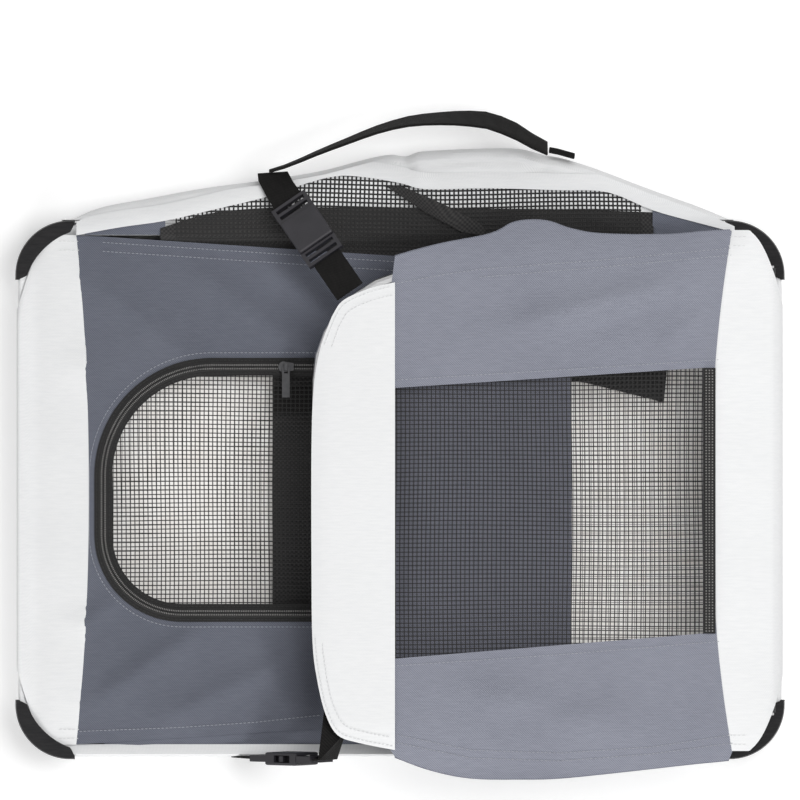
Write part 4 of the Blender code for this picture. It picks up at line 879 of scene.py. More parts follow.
def make_mat():
    """A flat slab swollen by the cloth simulation, with its growth capped."""
    outline = rounded_rectangle(mat_high[0] - MAT_INSET, mat_high[1] - MAT_INSET, MAT_CORNER)
    shape = grid_shape(outline, 0.012)
    extruded(shape, mat_thickness * SLAB_SHARE)
    bmesh.ops.triangulate(shape, faces=[f for f in shape.faces if len(f.verts) > 4])
    bmesh.ops.translate(shape, vec=(0, 0, mat_low[2] + mat_thickness * SLAB_LIFT), verts=shape.verts)
    mat = to_object("fleece_pad", shape, fleece)
    before = points_of(mat)
    swell = mat.modifiers.new("swell", "CLOTH")
    swell.settings.use_pressure = True
    swell.settings.uniform_pressure_force = SWELL_FORCE
    swell.settings.quality = 4
    swell.settings.effector_weights.gravity = 0.0
    for step in range(1, SWELL_FRAMES + 1):
        bpy.context.scene.frame_set(step)
    mat = baked(mat)
    bpy.context.scene.frame_set(1)
    points = before + np.clip(points_of(mat) - before, -SWELL_CAP, SWELL_CAP)
    points[:, 2] += ripples(points[:, 0], points[:, 1], 0.11, 0.0008, 0.4)
    points[:, 2] = np.clip(points[:, 2], mat_low[2] + MAT_GAP, mat_high[2] - MAT_GAP)
    set_points(mat, points)
    mat = subdivided(mat, 1)
    mat.data.shade_smooth()
    return mat


mat = make_mat()
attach(mat, "base")
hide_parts("fleece_mat")
print("Mat faces:", len(mat.data.polygons))

# %% [markdown]
# ## Felt corners
#
# Each corner of the tray has a black felt guard. Seen from above it is a leaf: widest at the corner and
# narrowing to both ends, because the felt is folded over the band's top edge. It is made as one strip
# swept round the corner, with a section that wraps the edge.

# %% The four felt guards
GUARD_LAP = 0.0135
FELT_WALL = 0.0020


def make_guard(place, sign_x, sign_y):
    """One felt guard, swept round the corner at its place."""
    node = "corner_protector_" + place
    low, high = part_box(node)
    reach_x = max(abs(low[0]), abs(high[0]))
    reach_y = max(abs(low[1]), abs(high[1]))
    leg = high[0] - low[0]
    corner = BAND_CORNER + 0.0025
    centre = (reach_x - corner, reach_y - corner)
    path = [(reach_x, reach_y - leg + (leg - corner) * i / 5, 1, 0) for i in range(5)]
    path += [(centre[0] + corner * math.cos(t), centre[1] + corner * math.sin(t), math.cos(t), math.sin(t))
             for t in [math.pi / 2 * i / 20 for i in range(21)]]
    path += [(reach_x - corner - (leg - corner) * i / 5, reach_y, 0, 1) for i in range(1, 6)]
    bottom = low[2]
    edge = band_top + 0.0014
    rings = []
    for index, (x, y, out_x, out_y) in enumerate(path):
        leaf = math.sin(math.pi * index / (len(path) - 1)) ** 0.6
        lap = max(0.0030, GUARD_LAP * leaf)
        drop = (edge - bottom) * (0.25 + 0.75 * leaf)
        section = [(0.0, -drop), (0.0006, -drop * 0.5), (0.0003, -0.002), (-0.0006, 0.0), (-lap * 0.6, 0.0006),
                   (-lap, -0.0002), (-lap, -0.0012), (-lap * 0.6, -0.0006), (-FELT_WALL, -0.0014),
                   (-FELT_WALL, -drop)]
        rings.append([(sign_x * (x + out_x * out), sign_y * (y + out_y * out), edge + rise)
                      for out, rise in section])
    guard = skinned("felt_guard_" + place, rings, felt)
    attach(guard, "base")
    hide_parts(node)


for side_y, sign_y in (("front", -1), ("back", 1)):
    for side_x, sign_x in (("left", -1), ("right", 1)):
        make_guard(f"{side_y}_{side_x}", sign_x, sign_y)

# %% [markdown]
# ## The door end
#
# The left end is a steel U with grey cloth sewn round it. Its lower edge is a white strip that turns
# down into the base's band, bending over the hinge. The round-ended door is net behind a zip. All its
# pieces share one height rule: a slow wave, a few slack folds and a drop along its long edges.

# %% The door end's shape
left_low = level_of("left_end_panel", top=False)
left_top = level_of("left_end_panel")
left_panel_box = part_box("left_end_panel")
SEAM_LEFT_X = left_panel_box[0][0]
LEFT_TIP_X = left_panel_box[1][0]
LEFT_HINGE_X = -0.285
TIP_CORNER = 0.088
PANEL_SPACING = 0.0055
DOOR_END_FOLDS = [((60, 252), (222, 392), 0.0095, 0.0056), ((150, 236), (330, 372), 0.0105, 0.0048),
                  ((64, 330), (128, 440), 0.0075, 0.0034), ((236, 240), (352, 330), 0.0075, 0.0036),
                  ((66, 724), (236, 606), 0.0100, 0.0056), ((120, 744), (330, 640), 0.0095, 0.0043),
                  ((252, 616), (284, 722), 0.0080, 0.0040), ((68, 640), (126, 590), 0.0070, 0.0034)]


def left_height(x, y):
    slack = ripples(x, y, 0.16, 0.0009, 0.5)
    for start, end, width, rise in DOOR_END_FOLDS:
        slack = slack + fold(x, y, spot(*start), spot(*end), width, rise)
    edge = np.clip((np.abs(y) - 0.165) / 0.03, 0, 1)
    return slack * (1 - 0.5 * edge) - 0.0015 * edge


def left_half_width(x):
    share = np.clip((x - LEFT_HINGE_X) / (LEFT_TIP_X - TIP_CORNER - LEFT_HINGE_X), 0, None)
    return 0.2012 - 0.0215 * share


def left_seam(y):
    """The seam to the white strip, drawn in at its middle by the cloth's pull."""
    return SEAM_LEFT_X + 0.0050 - 0.0100 * (abs(y) / 0.2) ** 2.2


def left_outline():
    corner_x = LEFT_TIP_X - TIP_CORNER
    edge = [SEAM_LEFT_X + (corner_x - SEAM_LEFT_X) * step / 16 for step in range(16)]
    upper = [(x, float(left_half_width(x))) for x in edge]
    upper += arc(corner_x, float(left_half_width(corner_x)) - TIP_CORNER, TIP_CORNER, 90, 0, 14)
    outline = upper + [(x, -y) for x, y in reversed(upper)]
    outline[0] = (left_seam(upper[0][1]), upper[0][1])
    outline[-1] = (left_seam(upper[0][1]), -upper[0][1])
    return outline + [(left_seam(0.02 * step), 0.02 * step) for step in range(-9, 10)]


UPPER_TURN = 0.092
LOWER_TURN = 0.068


def door_line(inset):
    """The door's round-ended line, so far inside the zip's outer edge."""
    door_low, door_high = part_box("door_zip")
    top = door_high[1] - inset
    left = door_low[0] + inset
    upper = UPPER_TURN - inset
    lower = LOWER_TURN - inset
    line = [(door_high[0], top)]
    line += arc(left + upper, top - upper, upper, 90, 180, 24)
    line += arc(left + lower, lower - top, lower, 180, 270, 20)
    return line + [(door_high[0], -top)]


TAPE_WIDTH = 0.014
door_hole = door_line(TAPE_WIDTH - 0.002)
left_panel_outline = left_outline()
left_panel = cloth("door_end_cloth", left_panel_outline, left_low, left_top - left_low, shaded_grey_cloth,
                   left_height, PANEL_SPACING, door_hole)
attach(left_panel, "left_end")
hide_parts("left_end_panel")
print("Door end cloth faces:", len(left_panel.data.polygons))

# %% [markdown]
# The grey cloth turns down at its front edge and tucks into the tray, so that no frame shows beside it.

# %% Turned-down edge of the door end
TUCK_REACH = 0.2035
TUCK_DROP = 0.0045
TUCK_LAP = 0.003
TUCK_WALL = 0.0012


def tucked_row(index, x, y):
    """Points from the panel's front edge, out and down to a line inside the tray."""
    top = left_low + 0.0006 + height_at(left_height, x, y)
    far = -max(TUCK_REACH, abs(y) + 0.004)
    row = []
    for share in (0.0, 0.2, 0.4, 0.6, 0.8, 1.0):
        sag = TUCK_DROP * (share ** 1.6) + 0.0007 * math.sin(index * 1.1) * share
        row.append((x, y + TUCK_LAP + (far - y - TUCK_LAP) * share, top - sag))
    return row


front_edge = finer([(x, y) for x, y in left_panel_outline if y < -0.1795 and SEAM_LEFT_X < x < 0.060], 0.008)
hem = bent_sheet("door_end_hem_front", [tucked_row(index, x, y) for index, (x, y) in enumerate(front_edge)],
                 TUCK_WALL, shaded_grey_cloth)
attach(hem, "left_end")

# %% [markdown]
# The strip below the grey cloth is sewn to it and runs on down to the base. It is one sheet that bends
# over the end's hinge edge and down to the band, and its rows of stitches follow the same bend.

# %% White strips that bend at the hinges
STRIP_WALL = 0.0014
STRIP_CORNER = 0.060
STRIP_COLUMNS = 56
STITCH_SHARES = (-0.975, -0.94, 0.94, 0.975)
STITCH_REACH = 0.36


def hinge_strip(name, replaced, seam, height, hinge_x, top_z, foot, half_width, slump):
    """A white sheet from the seam over the hinge edge and down to the tray's band."""
    foot_x, foot_z = foot
    seam_x = seam(0.0)
    side = 1 if foot_x > seam_x else -1
    turn_x = foot_x - side * 0.0012
    profile = [(seam_x - side * 0.0012, top_z - 0.0010), (seam_x + side * 0.0004, top_z),
               (seam_x + (hinge_x - seam_x) * 0.35, top_z + 0.0004),
               (seam_x + (hinge_x - seam_x) * 0.7, top_z + 0.0002), (hinge_x - side * 0.001, top_z - 0.0009),
               ((hinge_x + turn_x) / 2, top_z - slump * 0.25), (turn_x, top_z - slump),
               (foot_x, (top_z - slump + foot_z) / 2), (foot_x, foot_z)]
    profile = smooth_line(profile, 5)

    def placed(share, x, z):
        """A point of the strip, from its share of the width and its place in the profile."""
        beyond = max(0.0, (x - seam_x) / (foot_x - seam_x))
        pull = STRIP_CORNER * max(0.0, beyond - 0.45) ** 2 / 0.55 ** 2
        y = share * (half_width - pull)
        side_drop = max(0.0, abs(share) - 0.90) / 0.10
        wave = 0.0006 * math.sin(y * 70 + x * 25) * min(1.0, 4 * beyond * (1 - beyond))
        lean = height_at(height, seam(y), y) * max(0.0, 1 - 1.6 * beyond)
        bow = (seam(y) - seam_x) * max(0.0, 1 - 1.8 * beyond)
        return x + bow, y, z + wave + lean - 0.0016 * side_drop ** 2 * beyond

    rows = [[placed(2 * column / STRIP_COLUMNS - 1, x, z) for x, z in profile]
            for column in range(STRIP_COLUMNS + 1)]
    strip = bent_sheet(name, rows, STRIP_WALL, white_cloth)
    strip.data.set_sharp_from_angle(angle=0.9)
    stitch_rows = []
    for share in STITCH_SHARES:
        line = [placed(share, x, z) for x, z in profile[3:]
                if abs(x - seam_x) < STITCH_REACH * abs(foot_x - seam_x)]
        stitch_rows.append([(x, y, z + 0.0009) for x, y, z in line])
    for piece in (strip, stitched(name + "_stitches", stitch_rows, white_thread)):
        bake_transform(piece)
    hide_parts(*replaced)


hinge_strip("door_end_white_strip", ["left_end_white_strip"], left_seam,
            left_height, hinge_x=LEFT_HINGE_X, top_z=left_top - 0.0004,
            foot=(-band_half_x - 0.0012, band_top - 0.010), half_width=0.199, slump=-0.0028)

# %% [markdown]
# The door's net is a grid of black threads. The zip is a flat tape with a raised row of teeth on each
# side of a centre groove. The teeth are tiny copies along the zip's line, so that the row bends with it.

# %% Door net, zip tape and teeth
def flat_height(x, y):
    return np.zeros_like(np.asarray(x, float))


def net_sag(x, y):
    return left_height(x, y) * 0.6 - 0.0004


door_net_outline = door_line(TAPE_WIDTH - 0.004)
door_net = net("door_net_threads", door_net_outline, net_sag, level_of("door_net", top=False))
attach(door_net, "left_end")
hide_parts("door_net")


def ribbon_mesh(name, lines, section, height, low, material):
    """A flat tape swept along a drawn line that lies on a height rule."""
    rings = []
    line = finer(lines, 0.004)
    for index, (x, y) in enumerate(line):
        before = Vector(line[max(index - 1, 0)])
        after = Vector(line[min(index + 1, len(line) - 1)])
        run = (after - before).normalized()
        ring = []
        for side, rise in section:
            px, py = x - run.y * side, y + run.x * side
            ring.append((px, py, low + rise + height_at(height, px, py)))
        rings.append(ring)
    return skinned(name, rings, material)


ZIP_RISE = 0.0009
TEETH_RISE = 0.00205
TEETH_SPREAD = 0.0014
zip_low = level_of("door_zip", top=False)
half_tape = TAPE_WIDTH / 2
tape_section = [(-half_tape, 0.0), (half_tape, 0.0), (half_tape, 0.0006), (0.0034, 0.0009), (0.0026, 0.0018),
                (0.0004, 0.0017), (0.0, 0.0011), (-0.0004, 0.0017), (-0.0026, 0.0018), (-0.0034, 0.0009),
                (-half_tape, 0.0006)]
zip_tape = ribbon_mesh("door_zip_tape", door_line(half_tape), tape_section, left_height, zip_low, tape_cloth)
teeth_rows = [raised(finer(door_line(inset)), left_height, zip_low + TEETH_RISE)
              for inset in (half_tape - TEETH_SPREAD, half_tape + TEETH_SPREAD)]
zip_teeth = run_tree("door_zip_teeth", teeth_rows, tooth_tree, coil_thread, Pitch=0.0014, Length=0.0007,
                     Across=0.0013, Thick=0.0007)
for piece in (zip_tape, zip_teeth):
    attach(piece, "left_end")
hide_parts("door_zip")
sew("door_zip_stitches", [door_line(0.0018), door_line(TAPE_WIDTH - 0.0022)], left_height, zip_low + ZIP_RISE,
    "left_end", dark_thread)
soft_copy("door_tie_tab_webbing", "door_tie_tab", webbing, "left_end", edge=0.0004)
print("Zip teeth faces:", len(zip_teeth.data.polygons))

# %% [markdown]
# ## The window end
#
# The right end lies on top. Its grey cloth is pulled over the steel U and turns down at both long
# edges. The net window has a dark tape at one end, and a white strip covers the end's top edge. The
# cloth is slack, with long soft folds that run from the corners.

# %% The window end's shape
right_top = level_of("right_end_panel")
right_low = level_of("right_end_panel", top=False)
SEAM_RIGHT_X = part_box("right_end_white_strip")[0][0]
RIGHT_HINGE_X = 0.285
WINDOW_END_FOLDS = [((0.02, -0.150), (0.20, -0.185), 0.014, 0.0042),
                    ((0.04, -0.195), (0.18, -0.150), 0.010, -0.0026),
                    ((0.05, 0.118), (0.240, 0.166), 0.0105, 0.0068),
                    ((0.12, 0.112), (0.232, 0.160), 0.0085, -0.0030),
                    ((0.195, 0.105), (0.236, 0.140), 0.0075, 0.0030)]


def right_height(x, y):
    slack = ripples(x, y, 0.19, 0.0012, 1.1)
    for start, end, width, rise in WINDOW_END_FOLDS:
        slack = slack + fold(x, y, start, end, width, rise)
    beyond = np.clip((np.abs(y) - 0.176) / 0.032, 0, 1.3)
    tip = np.clip((-0.052 - x) / 0.018, 0, 1)
    return slack - 0.0075 * beyond ** 2 - 0.003 * tip ** 2


def right_seam(y):
    return SEAM_RIGHT_X - 0.0025 + 0.0160 * (abs(y) / 0.2) ** 2.2


WINDOW_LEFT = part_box("right_end_top_strip")[1][0]
window_low, window_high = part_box("window_binding")
UPPER_EDGE_PIXELS = [(766, 232), (735, 231), (700, 233), (660, 236), (600, 235), (570, 230), (545, 222),
                     (515, 223), (490, 235), (440, 245), (395, 257)]
LOWER_EDGE_PIXELS = [(766, 749), (735, 757), (690, 762), (620, 770), (560, 776), (520, 777), (470, 776),
                     (430, 768), (395, 755)]
STRIP_EDGE_PIXELS = [(395, 283), (370, 289), (345, 300), (335, 312), (328, 328), (320, 352), (314, 390),
                     (312, 450), (312, 560), (313, 640), (318, 680), (326, 712), (338, 733), (360, 741),
                     (395, 748)]
trim_x = right_seam(0.2) - 0.001
upper_edge = [(x, y) for x, y in smooth_line(spots(*UPPER_EDGE_PIXELS), 5) if x < trim_x]
lower_edge = [(x, y) for x, y in smooth_line(spots(*LOWER_EDGE_PIXELS), 5) if x < trim_x]
strip_edge = smooth_line(spots(*STRIP_EDGE_PIXELS), 5)
panel_outline = upper_edge + strip_edge[1:-1] + lower_edge[::-1]
panel_outline += [(right_seam(0.02 * step), 0.02 * step) for step in range(-10, 11)]
window_edge = [(WINDOW_LEFT, spot(395, 388)[1]), (WINDOW_LEFT, spot(395, 657)[1]),
               (window_low[0], window_low[1]), (window_low[0], window_high[1])]
window_panel = cloth("window_end_cloth", panel_outline, right_low, right_top - right_low, grey_cloth,
                     right_height, PANEL_SPACING, window_edge)
hinge_strip("window_end_white_strip", ["right_end_white_strip", "right_riser_band"],
            right_seam, right_height, hinge_x=RIGHT_HINGE_X, top_z=right_top - 0.0002,
            foot=(band_half_x - 0.0006, band_top - 0.004), half_width=0.2015, slump=0.012)
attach(window_panel, "right_end")
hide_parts("right_end_panel")
print("Window end cloth faces:", len(window_panel.data.polygons))

HEM_DEPTH = 0.020
HEM_WALL = 0.0016


def side_hem(name, node, edge):
    """The cloth that turns down past the frame along a long edge."""
    sign = 1 if edge[0][1] > 0 else -1
    rows = []
    for index, (x, y) in enumerate(edge):
        top = right_low + height_at(right_height, x, y)
        row = []
        for share in (0.0, 0.15, 0.35, 0.6, 0.8, 1.0):
            out = 0.0016 * math.sin(math.pi * share) - 0.005 * share + 0.0012 * math.sin(index * 0.8) * share
            row.append((x, y + sign * out, top - HEM_DEPTH * share))
        rows.append(row)
    hem = bent_sheet(name, rows, HEM_WALL, hem_cloth)
    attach(hem, "right_end")
    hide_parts(node)


side_hem("window_end_hem_back", "right_end_hem_back", upper_edge)
side_hem("window_end_hem_front", "right_end_hem_front", lower_edge)

# %% Window net, tape and top strip
NET_LAP = 0.004
BINDING_ROWS = (-0.0024, 0.0, 0.0024)
BINDING_RISE = 0.0019
net_outline = [(x + math.copysign(NET_LAP, x - 0.1), y + math.copysign(NET_LAP, y)) for x, y in window_edge]


def window_sag(x, y):
    return right_height(x, y) * 0.5 - 0.0006


window_net = net("window_net_threads", net_outline, window_sag, level_of("window_net", top=False))
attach(window_net, "right_end")
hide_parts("window_net")

tape_x = (window_low[0] + window_high[0]) / 2
binding_half = (window_high[0] - window_low[0]) / 2
binding_section = [(-binding_half, 0.0), (binding_half, 0.0), (binding_half, 0.0005), (0.0020, 0.0008),
                   (0.0014, 0.0016), (-0.0014, 0.0016), (-0.0020, 0.0008), (-binding_half, 0.0005)]
binding = ribbon_mesh("window_tape", [(tape_x, window_high[1]), (tape_x, window_low[1])], binding_section,
                      right_height, window_low[2] + 0.0002, tape_cloth)
binding_rows = [raised(finer([(tape_x + side, window_high[1] - 0.002), (tape_x + side, window_low[1] + 0.002)]),
                       right_height, window_low[2] + BINDING_RISE) for side in BINDING_ROWS]
binding_teeth = run_tree("window_tape_teeth", binding_rows, tooth_tree, coil_thread, Pitch=0.0022,
                         Length=0.0010, Across=0.0011, Thick=0.0006)
for piece in (binding, binding_teeth):
    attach(piece, "right_end")
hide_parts("window_binding")


def strip_height(x, y):
    return right_height(x, y) + 0.0002


strip_low = level_of("right_end_top_strip", top=False)
top_strip = cloth("window_end_top_strip", strip_edge, strip_low, 0.0016, white_cloth, strip_height)
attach(top_strip, "right_end")
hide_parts("right_end_top_strip")

# %% [markdown]
# ## Seams
#
# Rows of stitches run beside every edge that is sewn: twice along the cloth's long edges and the white
# strips, once along the window's long sides. Grey thread shows on grey cloth, a paler grey on white.

# %% Stitch rows
def drawn_in(line, amount, centre):
    """A line pulled towards a centre by a fixed amount."""
    result = []
    for x, y in line:
        away = Vector((x - centre[0], y - centre[1]))
        pull = away.normalized() * amount
        result.append((x - pull.x, y - pull.y))
    return result


STRIP_MIDDLE = (0.06, -0.02)
STRIP_INSETS = (0.0028, 0.0095)
STRIP_END = 0.112
SEAM_INSETS = (0.0045, 0.0115)
right_lift = right_top + 0.0002
left_lift = left_top + 0.0002
WINDOW_END_SEAMS = {
    "window_end_stitches_back": [((480, 270), (600, 261), (731, 249)), ((480, 278), (600, 268), (729, 256)),
                                 ((398, 284), (440, 276), (480, 270))],
    "window_end_stitches_front": [((398, 733), (470, 748), (560, 751), (650, 745), (730, 733)),
                                  ((398, 741), (470, 756), (560, 759), (650, 752), (730, 741))],
    "window_stitches": [((398, 380), (560, 370), (716, 360)), ((398, 664), (560, 653), (716, 640))]}
for seam_name, seam_lines in WINDOW_END_SEAMS.items():
    sew(seam_name, [spots(*line) for line in seam_lines], right_height, right_lift, "right_end", grey_thread)
strip_rows = []
for inset in STRIP_INSETS:
    row = [(x, y) for x, y in drawn_in(strip_edge, inset, STRIP_MIDDLE) if x < WINDOW_LEFT - 0.002]
    strip_rows += [[(x, y) for x, y in row if y > STRIP_END], [(x, y) for x, y in row if y < -STRIP_END]]
sew("top_strip_stitches", strip_rows, strip_height, strip_low + 0.0019, "right_end", white_thread)
left_edge = [(x, y) for x, y in left_panel_outline if SEAM_LEFT_X + 0.004 < x < 0.04 and y > 0.17]
left_rows = [[(x, y - inset) for x, y in left_edge] for inset in SEAM_INSETS]
left_rows.append(spots((80, 732), (180, 728), (255, 723), (318, 716)))
sew("door_end_stitches", left_rows, left_height, left_lift, "left_end", grey_thread)
sew("door_end_zip_seam", [door_line(-0.004)], left_height, left_lift, "left_end", grey_thread)

# %% [markdown]
# ## The roof and the side walls
#
# Folded, these are loose sheets inside the parcel. The roof is cloth in three folds, darkened as painted
# shade: its outer folds in a dark twill and its middle fold in black. Each side wall is net with a border
# of grey twill darkened as painted shade, folded once, so that in use it stands up as one tall net.

# %% Roof folds
ROOF_CORNER_CUT = 0.036
SHEET_GAP = 0.0002


def roof_wave(x, y):
    return ripples(x, y, 0.12, 0.0005, 0.2)


def rectangle(low, high):
    return [(low[0], low[1]), (high[0], low[1]), (high[0], high[1]), (low[0], high[1])]


for node in ("roof_right", "roof_left", "roof_middle"):
    low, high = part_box(node)
    outline = rectangle(low, high)
    if node == "roof_right":
        cut = ROOF_CORNER_CUT
        outline = [(low[0], low[1] + cut), (low[0] + 0.6 * cut, low[1] + 0.25 * cut),
                   (low[0] + 1.3 * cut, low[1]), (high[0], low[1]), (high[0], high[1]),
                   (low[0] + 1.3 * cut, high[1]), (low[0] + 0.6 * cut, high[1] - 0.25 * cut),
                   (low[0], high[1] - cut)]
    # The outer folds wear the darkened roof twill and the middle fold the black, both painted shade.
    finish = shade_black_cloth if node == "roof_middle" else shaded_roof_cloth
    sheet = cloth(node + "_cloth", outline, low[2] + SHEET_GAP, 0.0008, finish, roof_wave, 0.012)
    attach(sheet, node)
    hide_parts(node)

# %% Side walls
BORDER = 0.018
BORDER_HEM = 0.010
WALL_THREAD = 0.00030
for side in ("back", "front"):
    for part in ("lower", "upper"):
        node = f"{side}_wall_{part}"
        low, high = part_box(node)
        outline = rectangle(low, high)
        hole_low = low[1] + BORDER_HEM if side == "front" else low[1] - 0.001
        hole_high = high[1] - BORDER_HEM if side == "back" else high[1] + 0.001
        hole = rectangle((low[0] + BORDER, hole_low), (high[0] - BORDER, hole_high))
        border = cloth(node + "_border", outline, low[2] + SHEET_GAP, 0.0006, shaded_grey_cloth, None, 0.03, hole)
        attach(border, node)
        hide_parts(node)
        net_low = hole_low - 0.002 if side == "front" else low[1]
        net_high = hole_high + 0.002 if side == "back" else high[1]
        wide = rectangle((hole[0][0] - 0.003, net_low), (hole[1][0] + 0.003, net_high))
        mesh_net = net(node + "_net", wide, flat_height, low[2] + SHEET_GAP, pitch=2 * NET_PITCH,
                       width=WALL_THREAD, thick=1.6 * WALL_THREAD, step=0.08, waver=0.0)
        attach(mesh_net, node)

# %% [markdown]
# The picture shows a dark corner of slack cloth in the window, on top of the folded back wall; its black
# is painted shade. It is a tuck that lies on the wall and rides with it.

# %% Tuck in the back wall
tuck_outline = spots((552, 362), (669, 360), (665, 403), (652, 399), (588, 383), (552, 378))
wall_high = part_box("back_wall_upper")[1]
# Painted shade: the tuck wears the black of the deepest folds.
tuck = cloth("back_wall_tuck", tuck_outline, wall_high[2] + 0.0012, 0.0008, shade_black_cloth, roof_wave, 0.006)
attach(tuck, "back_wall_upper")
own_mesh(tuck)

# %% [markdown]
# ## The pulled-up edge, handle and straps
#
# The handle is sewn to the band, and its pull draws a roll of white cloth out of the base and a piece of
# the side net after it. The roll is swept along its length with a soft section, two lobes with a crease
# between them, and a deep fold near its middle where the cloth buckles.

# %% The white roll
roll_low, roll_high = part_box("back_roll")
roll_height = roll_high[2] - roll_low[2]
ROLL_PIXELS = [(60, 226), (95, 208), (150, 197), (205, 187), (258, 180), (320, 170), (370, 157), (400, 152),
               (440, 149), (500, 147), (530, 149), (560, 156), (600, 169), (650, 188), (700, 206), (735, 221)]
roll_line = [(x, y) for x, y in smooth_line(spots(*ROLL_PIXELS), 6) if roll_low[0] <= x <= roll_high[0]]
roll_line = finer(roll_line, 0.005)


def make_roll():
    """The roll's section along its line: two lobes, a crease between them and two buckled places."""
    inner_y = roll_low[1]
    foot = roll_low[2]
    rings = []
    for index, (x, y) in enumerate(roll_line):
        depth = max(0.004, y - inner_y)
        bend = min(0.013, depth * 0.8)
        crumple = 0.0009 * math.sin(index * 0.9) + 0.0008 * math.sin(index * 0.37 + 1)
        buckle = math.exp(-((x - 0.004) / 0.006) ** 2) + 0.45 * math.exp(-((x - 0.112) / 0.010) ** 2)
        crease = 0.0030 + 0.0030 * buckle
        edge_y = y - 0.0035 * buckle
        top = roll_high[2] - 0.0006 - 0.0025 * buckle
        section = [(edge_y - bend * 0.9, foot + 0.0006), (edge_y - bend * 0.3, foot + 0.004),
                   (edge_y, foot + roll_height * 0.30 + crumple), (edge_y + 0.0002, foot + roll_height * 0.55),
                   (edge_y - bend * 0.22, top - 0.006 + crumple), (edge_y - bend * 0.60, top - 0.0025),
                   (edge_y - bend * 0.85, top - crease), (edge_y - bend * 1.10, top - 0.0012 + crumple),
                   (edge_y - max(bend * 1.6, 0.005), top), (edge_y - max(bend * 2.1, 0.006), top - 0.0012)]
        ring = [(x, max(inner_y + 0.0006, py), pz) for py, pz in section]
        rings.append(ring + [(x, inner_y, top - 0.0016), (x, inner_y, foot + 0.001)])
    roll = subdivided(skinned("white_roll", rings, white_cloth), 1)
    roll.data.shade_smooth()
    return roll


roll = make_roll()
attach(roll, "base")
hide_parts("back_roll")

# %% The net drawn out behind the roll
foot_low, foot_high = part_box("back_foot_net")
NET_EDGE_PIXELS = [(76, 233), (120, 225), (165, 218.5), (215, 207), (265, 195), (297, 184), (335, 174),
                   (365, 175), (401, 181), (426, 187), (487, 186), (560, 188), (608, 190), (653, 208),
                   (700, 221), (735, 230)]
roll_edge = smooth_line(spots(*NET_EDGE_PIXELS), 4)
net_back = [(x, y) for x, y in roll_edge if foot_low[0] <= x <= foot_high[0]]
foot_outline = net_back + [(net_back[-1][0], foot_low[1]), (net_back[0][0], foot_low[1])]
DIVE_START = 0.1985
DIVE_RUN = 0.0055
DIVE_DEPTH = 0.0068
SIDE_THREAD = 0.00135


def dive(y, start=DIVE_START, run=DIVE_RUN):
    """How far a layer has gone down under the window end, from 0 to 1."""
    return np.clip((start - y) / run, 0, 1)


def foot_height(x, y):
    crease = fold(x, y, spot(395, 175), spot(470, 240), 0.006, 0.0035)
    crease = crease + fold(x, y, spot(560, 205), spot(650, 235), 0.006, 0.0022)
    return crease * (1 - dive(y)) + ripples(x, y, 0.05, 0.0005, 0.3) - DIVE_DEPTH * dive(y) ** 1.1


foot_net = net("side_net_threads", foot_outline, foot_height, foot_low[2], width=SIDE_THREAD, step=0.003,
               waver=0.0008)
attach(foot_net, "base")
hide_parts("back_foot_net")

# %% [markdown]
# The net comes out from under a hem of the white cloth. The hem is a narrow strip along the net's edge.

# %% Hem over the net's edge
RIM_WIDTH = 0.0115
RIM_LAP = 0.0016
rim_line = [(x, y - RIM_LAP) for x, y in roll_edge]
rim_xs, rim_ys = np.array(roll_edge).T
edge_xs, edge_ys = np.array(roll_line).T
rim_back = [(x, min(y + RIM_WIDTH, float(np.interp(x, edge_xs, edge_ys)) - 0.004)) for x, y in roll_edge]
rim_back = [(x, max(y, front + 0.001)) for (x, y), (_, front) in zip(rim_back, roll_edge)]
rim_outline = rim_line + rim_back[::-1]


def rim_height(x, y):
    out = np.clip((y - np.interp(x, rim_xs, rim_ys)) / RIM_WIDTH, 0, 1)
    return 0.0016 - 0.0034 * out ** 2 + foot_height(x, np.full_like(np.asarray(y, float), 0.23)) * 0.6


rim = cloth("white_roll_hem", rim_outline, foot_low[2] + 0.0004, 0.0012, white_cloth, rim_height, 0.004)
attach(rim, "base")

# %% [markdown]
# The side wall is folded several times in the gap behind the roll, so its lower part looks black: partly
# the layers, partly the shade between them. Two black sheets, each turned a little, stand for those
# layers, their black painted shade: a wide one and a narrow one along a crease. A grey patch, its twill
# darkened as painted shade, ends the net on each side.

# %% Folds of net and the two grey patches
def deep_height(x, y):
    return ripples(x, y, 0.07, 0.0004, 0.9) - DIVE_DEPTH * dive(y) ** 1.1


LAYER_WALL = 0.0006
DEEP_EDGE_PIXELS = [(160, 228), (205, 214), (258, 208), (320, 207), (430, 208), (560, 209), (654, 212)]
deep_edge = smooth_line(spots(*DEEP_EDGE_PIXELS), 4)
deep_outline = deep_edge + [(deep_edge[-1][0], foot_low[1] - 0.012), (deep_edge[0][0], foot_low[1] - 0.004)]
# A black sheet of painted shade for the folded layers under the net, and a narrow one along its crease.
deep_folds = cloth("side_net_folds", deep_outline, foot_low[2] - 0.0014, LAYER_WALL, shade_black_cloth, deep_height,
                   0.003)
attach(deep_folds, "base")

crease_outline = spots((386, 186), (402, 186), (444, 204), (482, 224), (488, 236), (462, 232), (425, 212))
crease_shade_strip = cloth("side_net_crease", crease_outline, foot_high[2] - 0.0002, LAYER_WALL, shade_black_cloth,
                   foot_height, 0.003)
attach(crease_shade_strip, "base")

# Each of these layers gets its own mesh.
for piece in (foot_net, deep_folds, crease_shade_strip):
    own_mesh(piece)


def patch_height(x, y):
    return ripples(x, y, 0.04, 0.0004, 0.2) + 0.0002 - 0.0050 * dive(y, 0.2095, 0.0095)


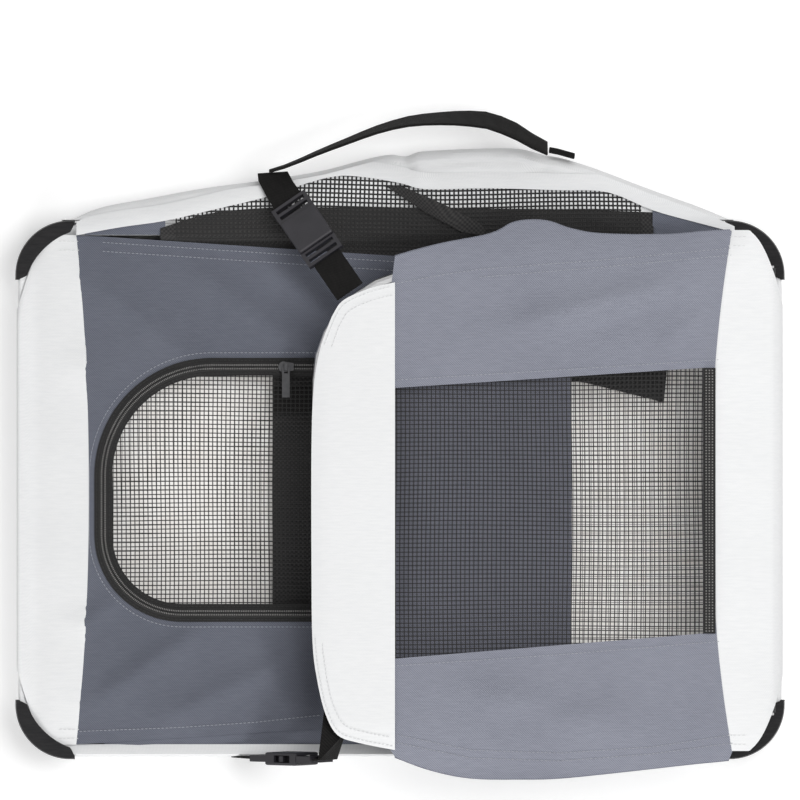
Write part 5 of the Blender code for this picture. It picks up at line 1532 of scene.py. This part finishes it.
PATCH_TAIL = 0.018
for side in ("left", "right"):
    node = "back_foot_patch_" + side
    low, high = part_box(node)
    span = (low[0] - PATCH_TAIL, high[0]) if side == "left" else (low[0], high[0] + PATCH_TAIL)
    patch_outline = [(x, y + RIM_LAP) for x, y in roll_edge if span[0] < x < span[1]]
    patch_outline += [(patch_outline[-1][0], low[1] - 0.002), (patch_outline[0][0], low[1] - 0.002)]
    patch = cloth(node + "_cloth", patch_outline, low[2], 0.0009, shaded_grey_cloth, patch_height, 0.004)
    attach(patch, "base")
    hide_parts(node)

# %% Handle and straps
TAIL_LAYERS = 2.2


def bunched(points):
    """Two layers of webbing sewn together, so the tail is twice as thick as a single one."""
    middle = np.polyval(np.polyfit(points[:, 0], points[:, 1], 1), points[:, 0])
    points[:, 1] = middle + (points[:, 1] - middle) * TAIL_LAYERS
    return points


soft_copy("handle_webbing", "carrying_handle", webbing, "handle", edge=0.0006)
soft_copy("handle_tail_webbing", "handle_tail", webbing, "base", edge=0.0005, shaping=bunched)
soft_copy("top_strap_webbing", "top_strap_base", strap_webbing, "base", edge=0.0004)
top_end = soft_copy("top_strap_end_webbing", "top_strap_end", strap_webbing, "right_end", edge=0.0004)
soft_copy("low_strap_webbing", "low_strap_base", webbing, "base", edge=0.0004)
low_end = soft_copy("low_strap_end_webbing", "low_strap_end", webbing, "right_end", edge=0.0004)

# %% [markdown]
# When a buckle is pressed open, its male half moves back along its strap. Each strap end gets its own
# mesh, and the point of it furthest along its buckle's axis is found.

# %% Strap ends with their own meshes
BUCKLE_AXES = {"top_buckle_slide": (0.52122, -0.761256, 0.385771),
               "low_buckle_slide": (0.819232, 0.0, 0.573462)}
for piece, (joint, axis) in zip((top_end, low_end), BUCKLE_AXES.items()):
    points = points_of(piece)
    along = points @ np.array(axis)
    anchor = points[along.argmax()]
    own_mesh(piece)

# %% [markdown]
# The new pieces are gathered, and the first finish that each one wears is looked up.

# %% The finish that each new piece wears
new_pieces = [thing for thing in bpy.data.objects
              if thing.type == "MESH" and thing.name not in solid_names and thing is not floor]
for piece in new_pieces:
    finish = next((material for material in piece.data.materials if material), None)
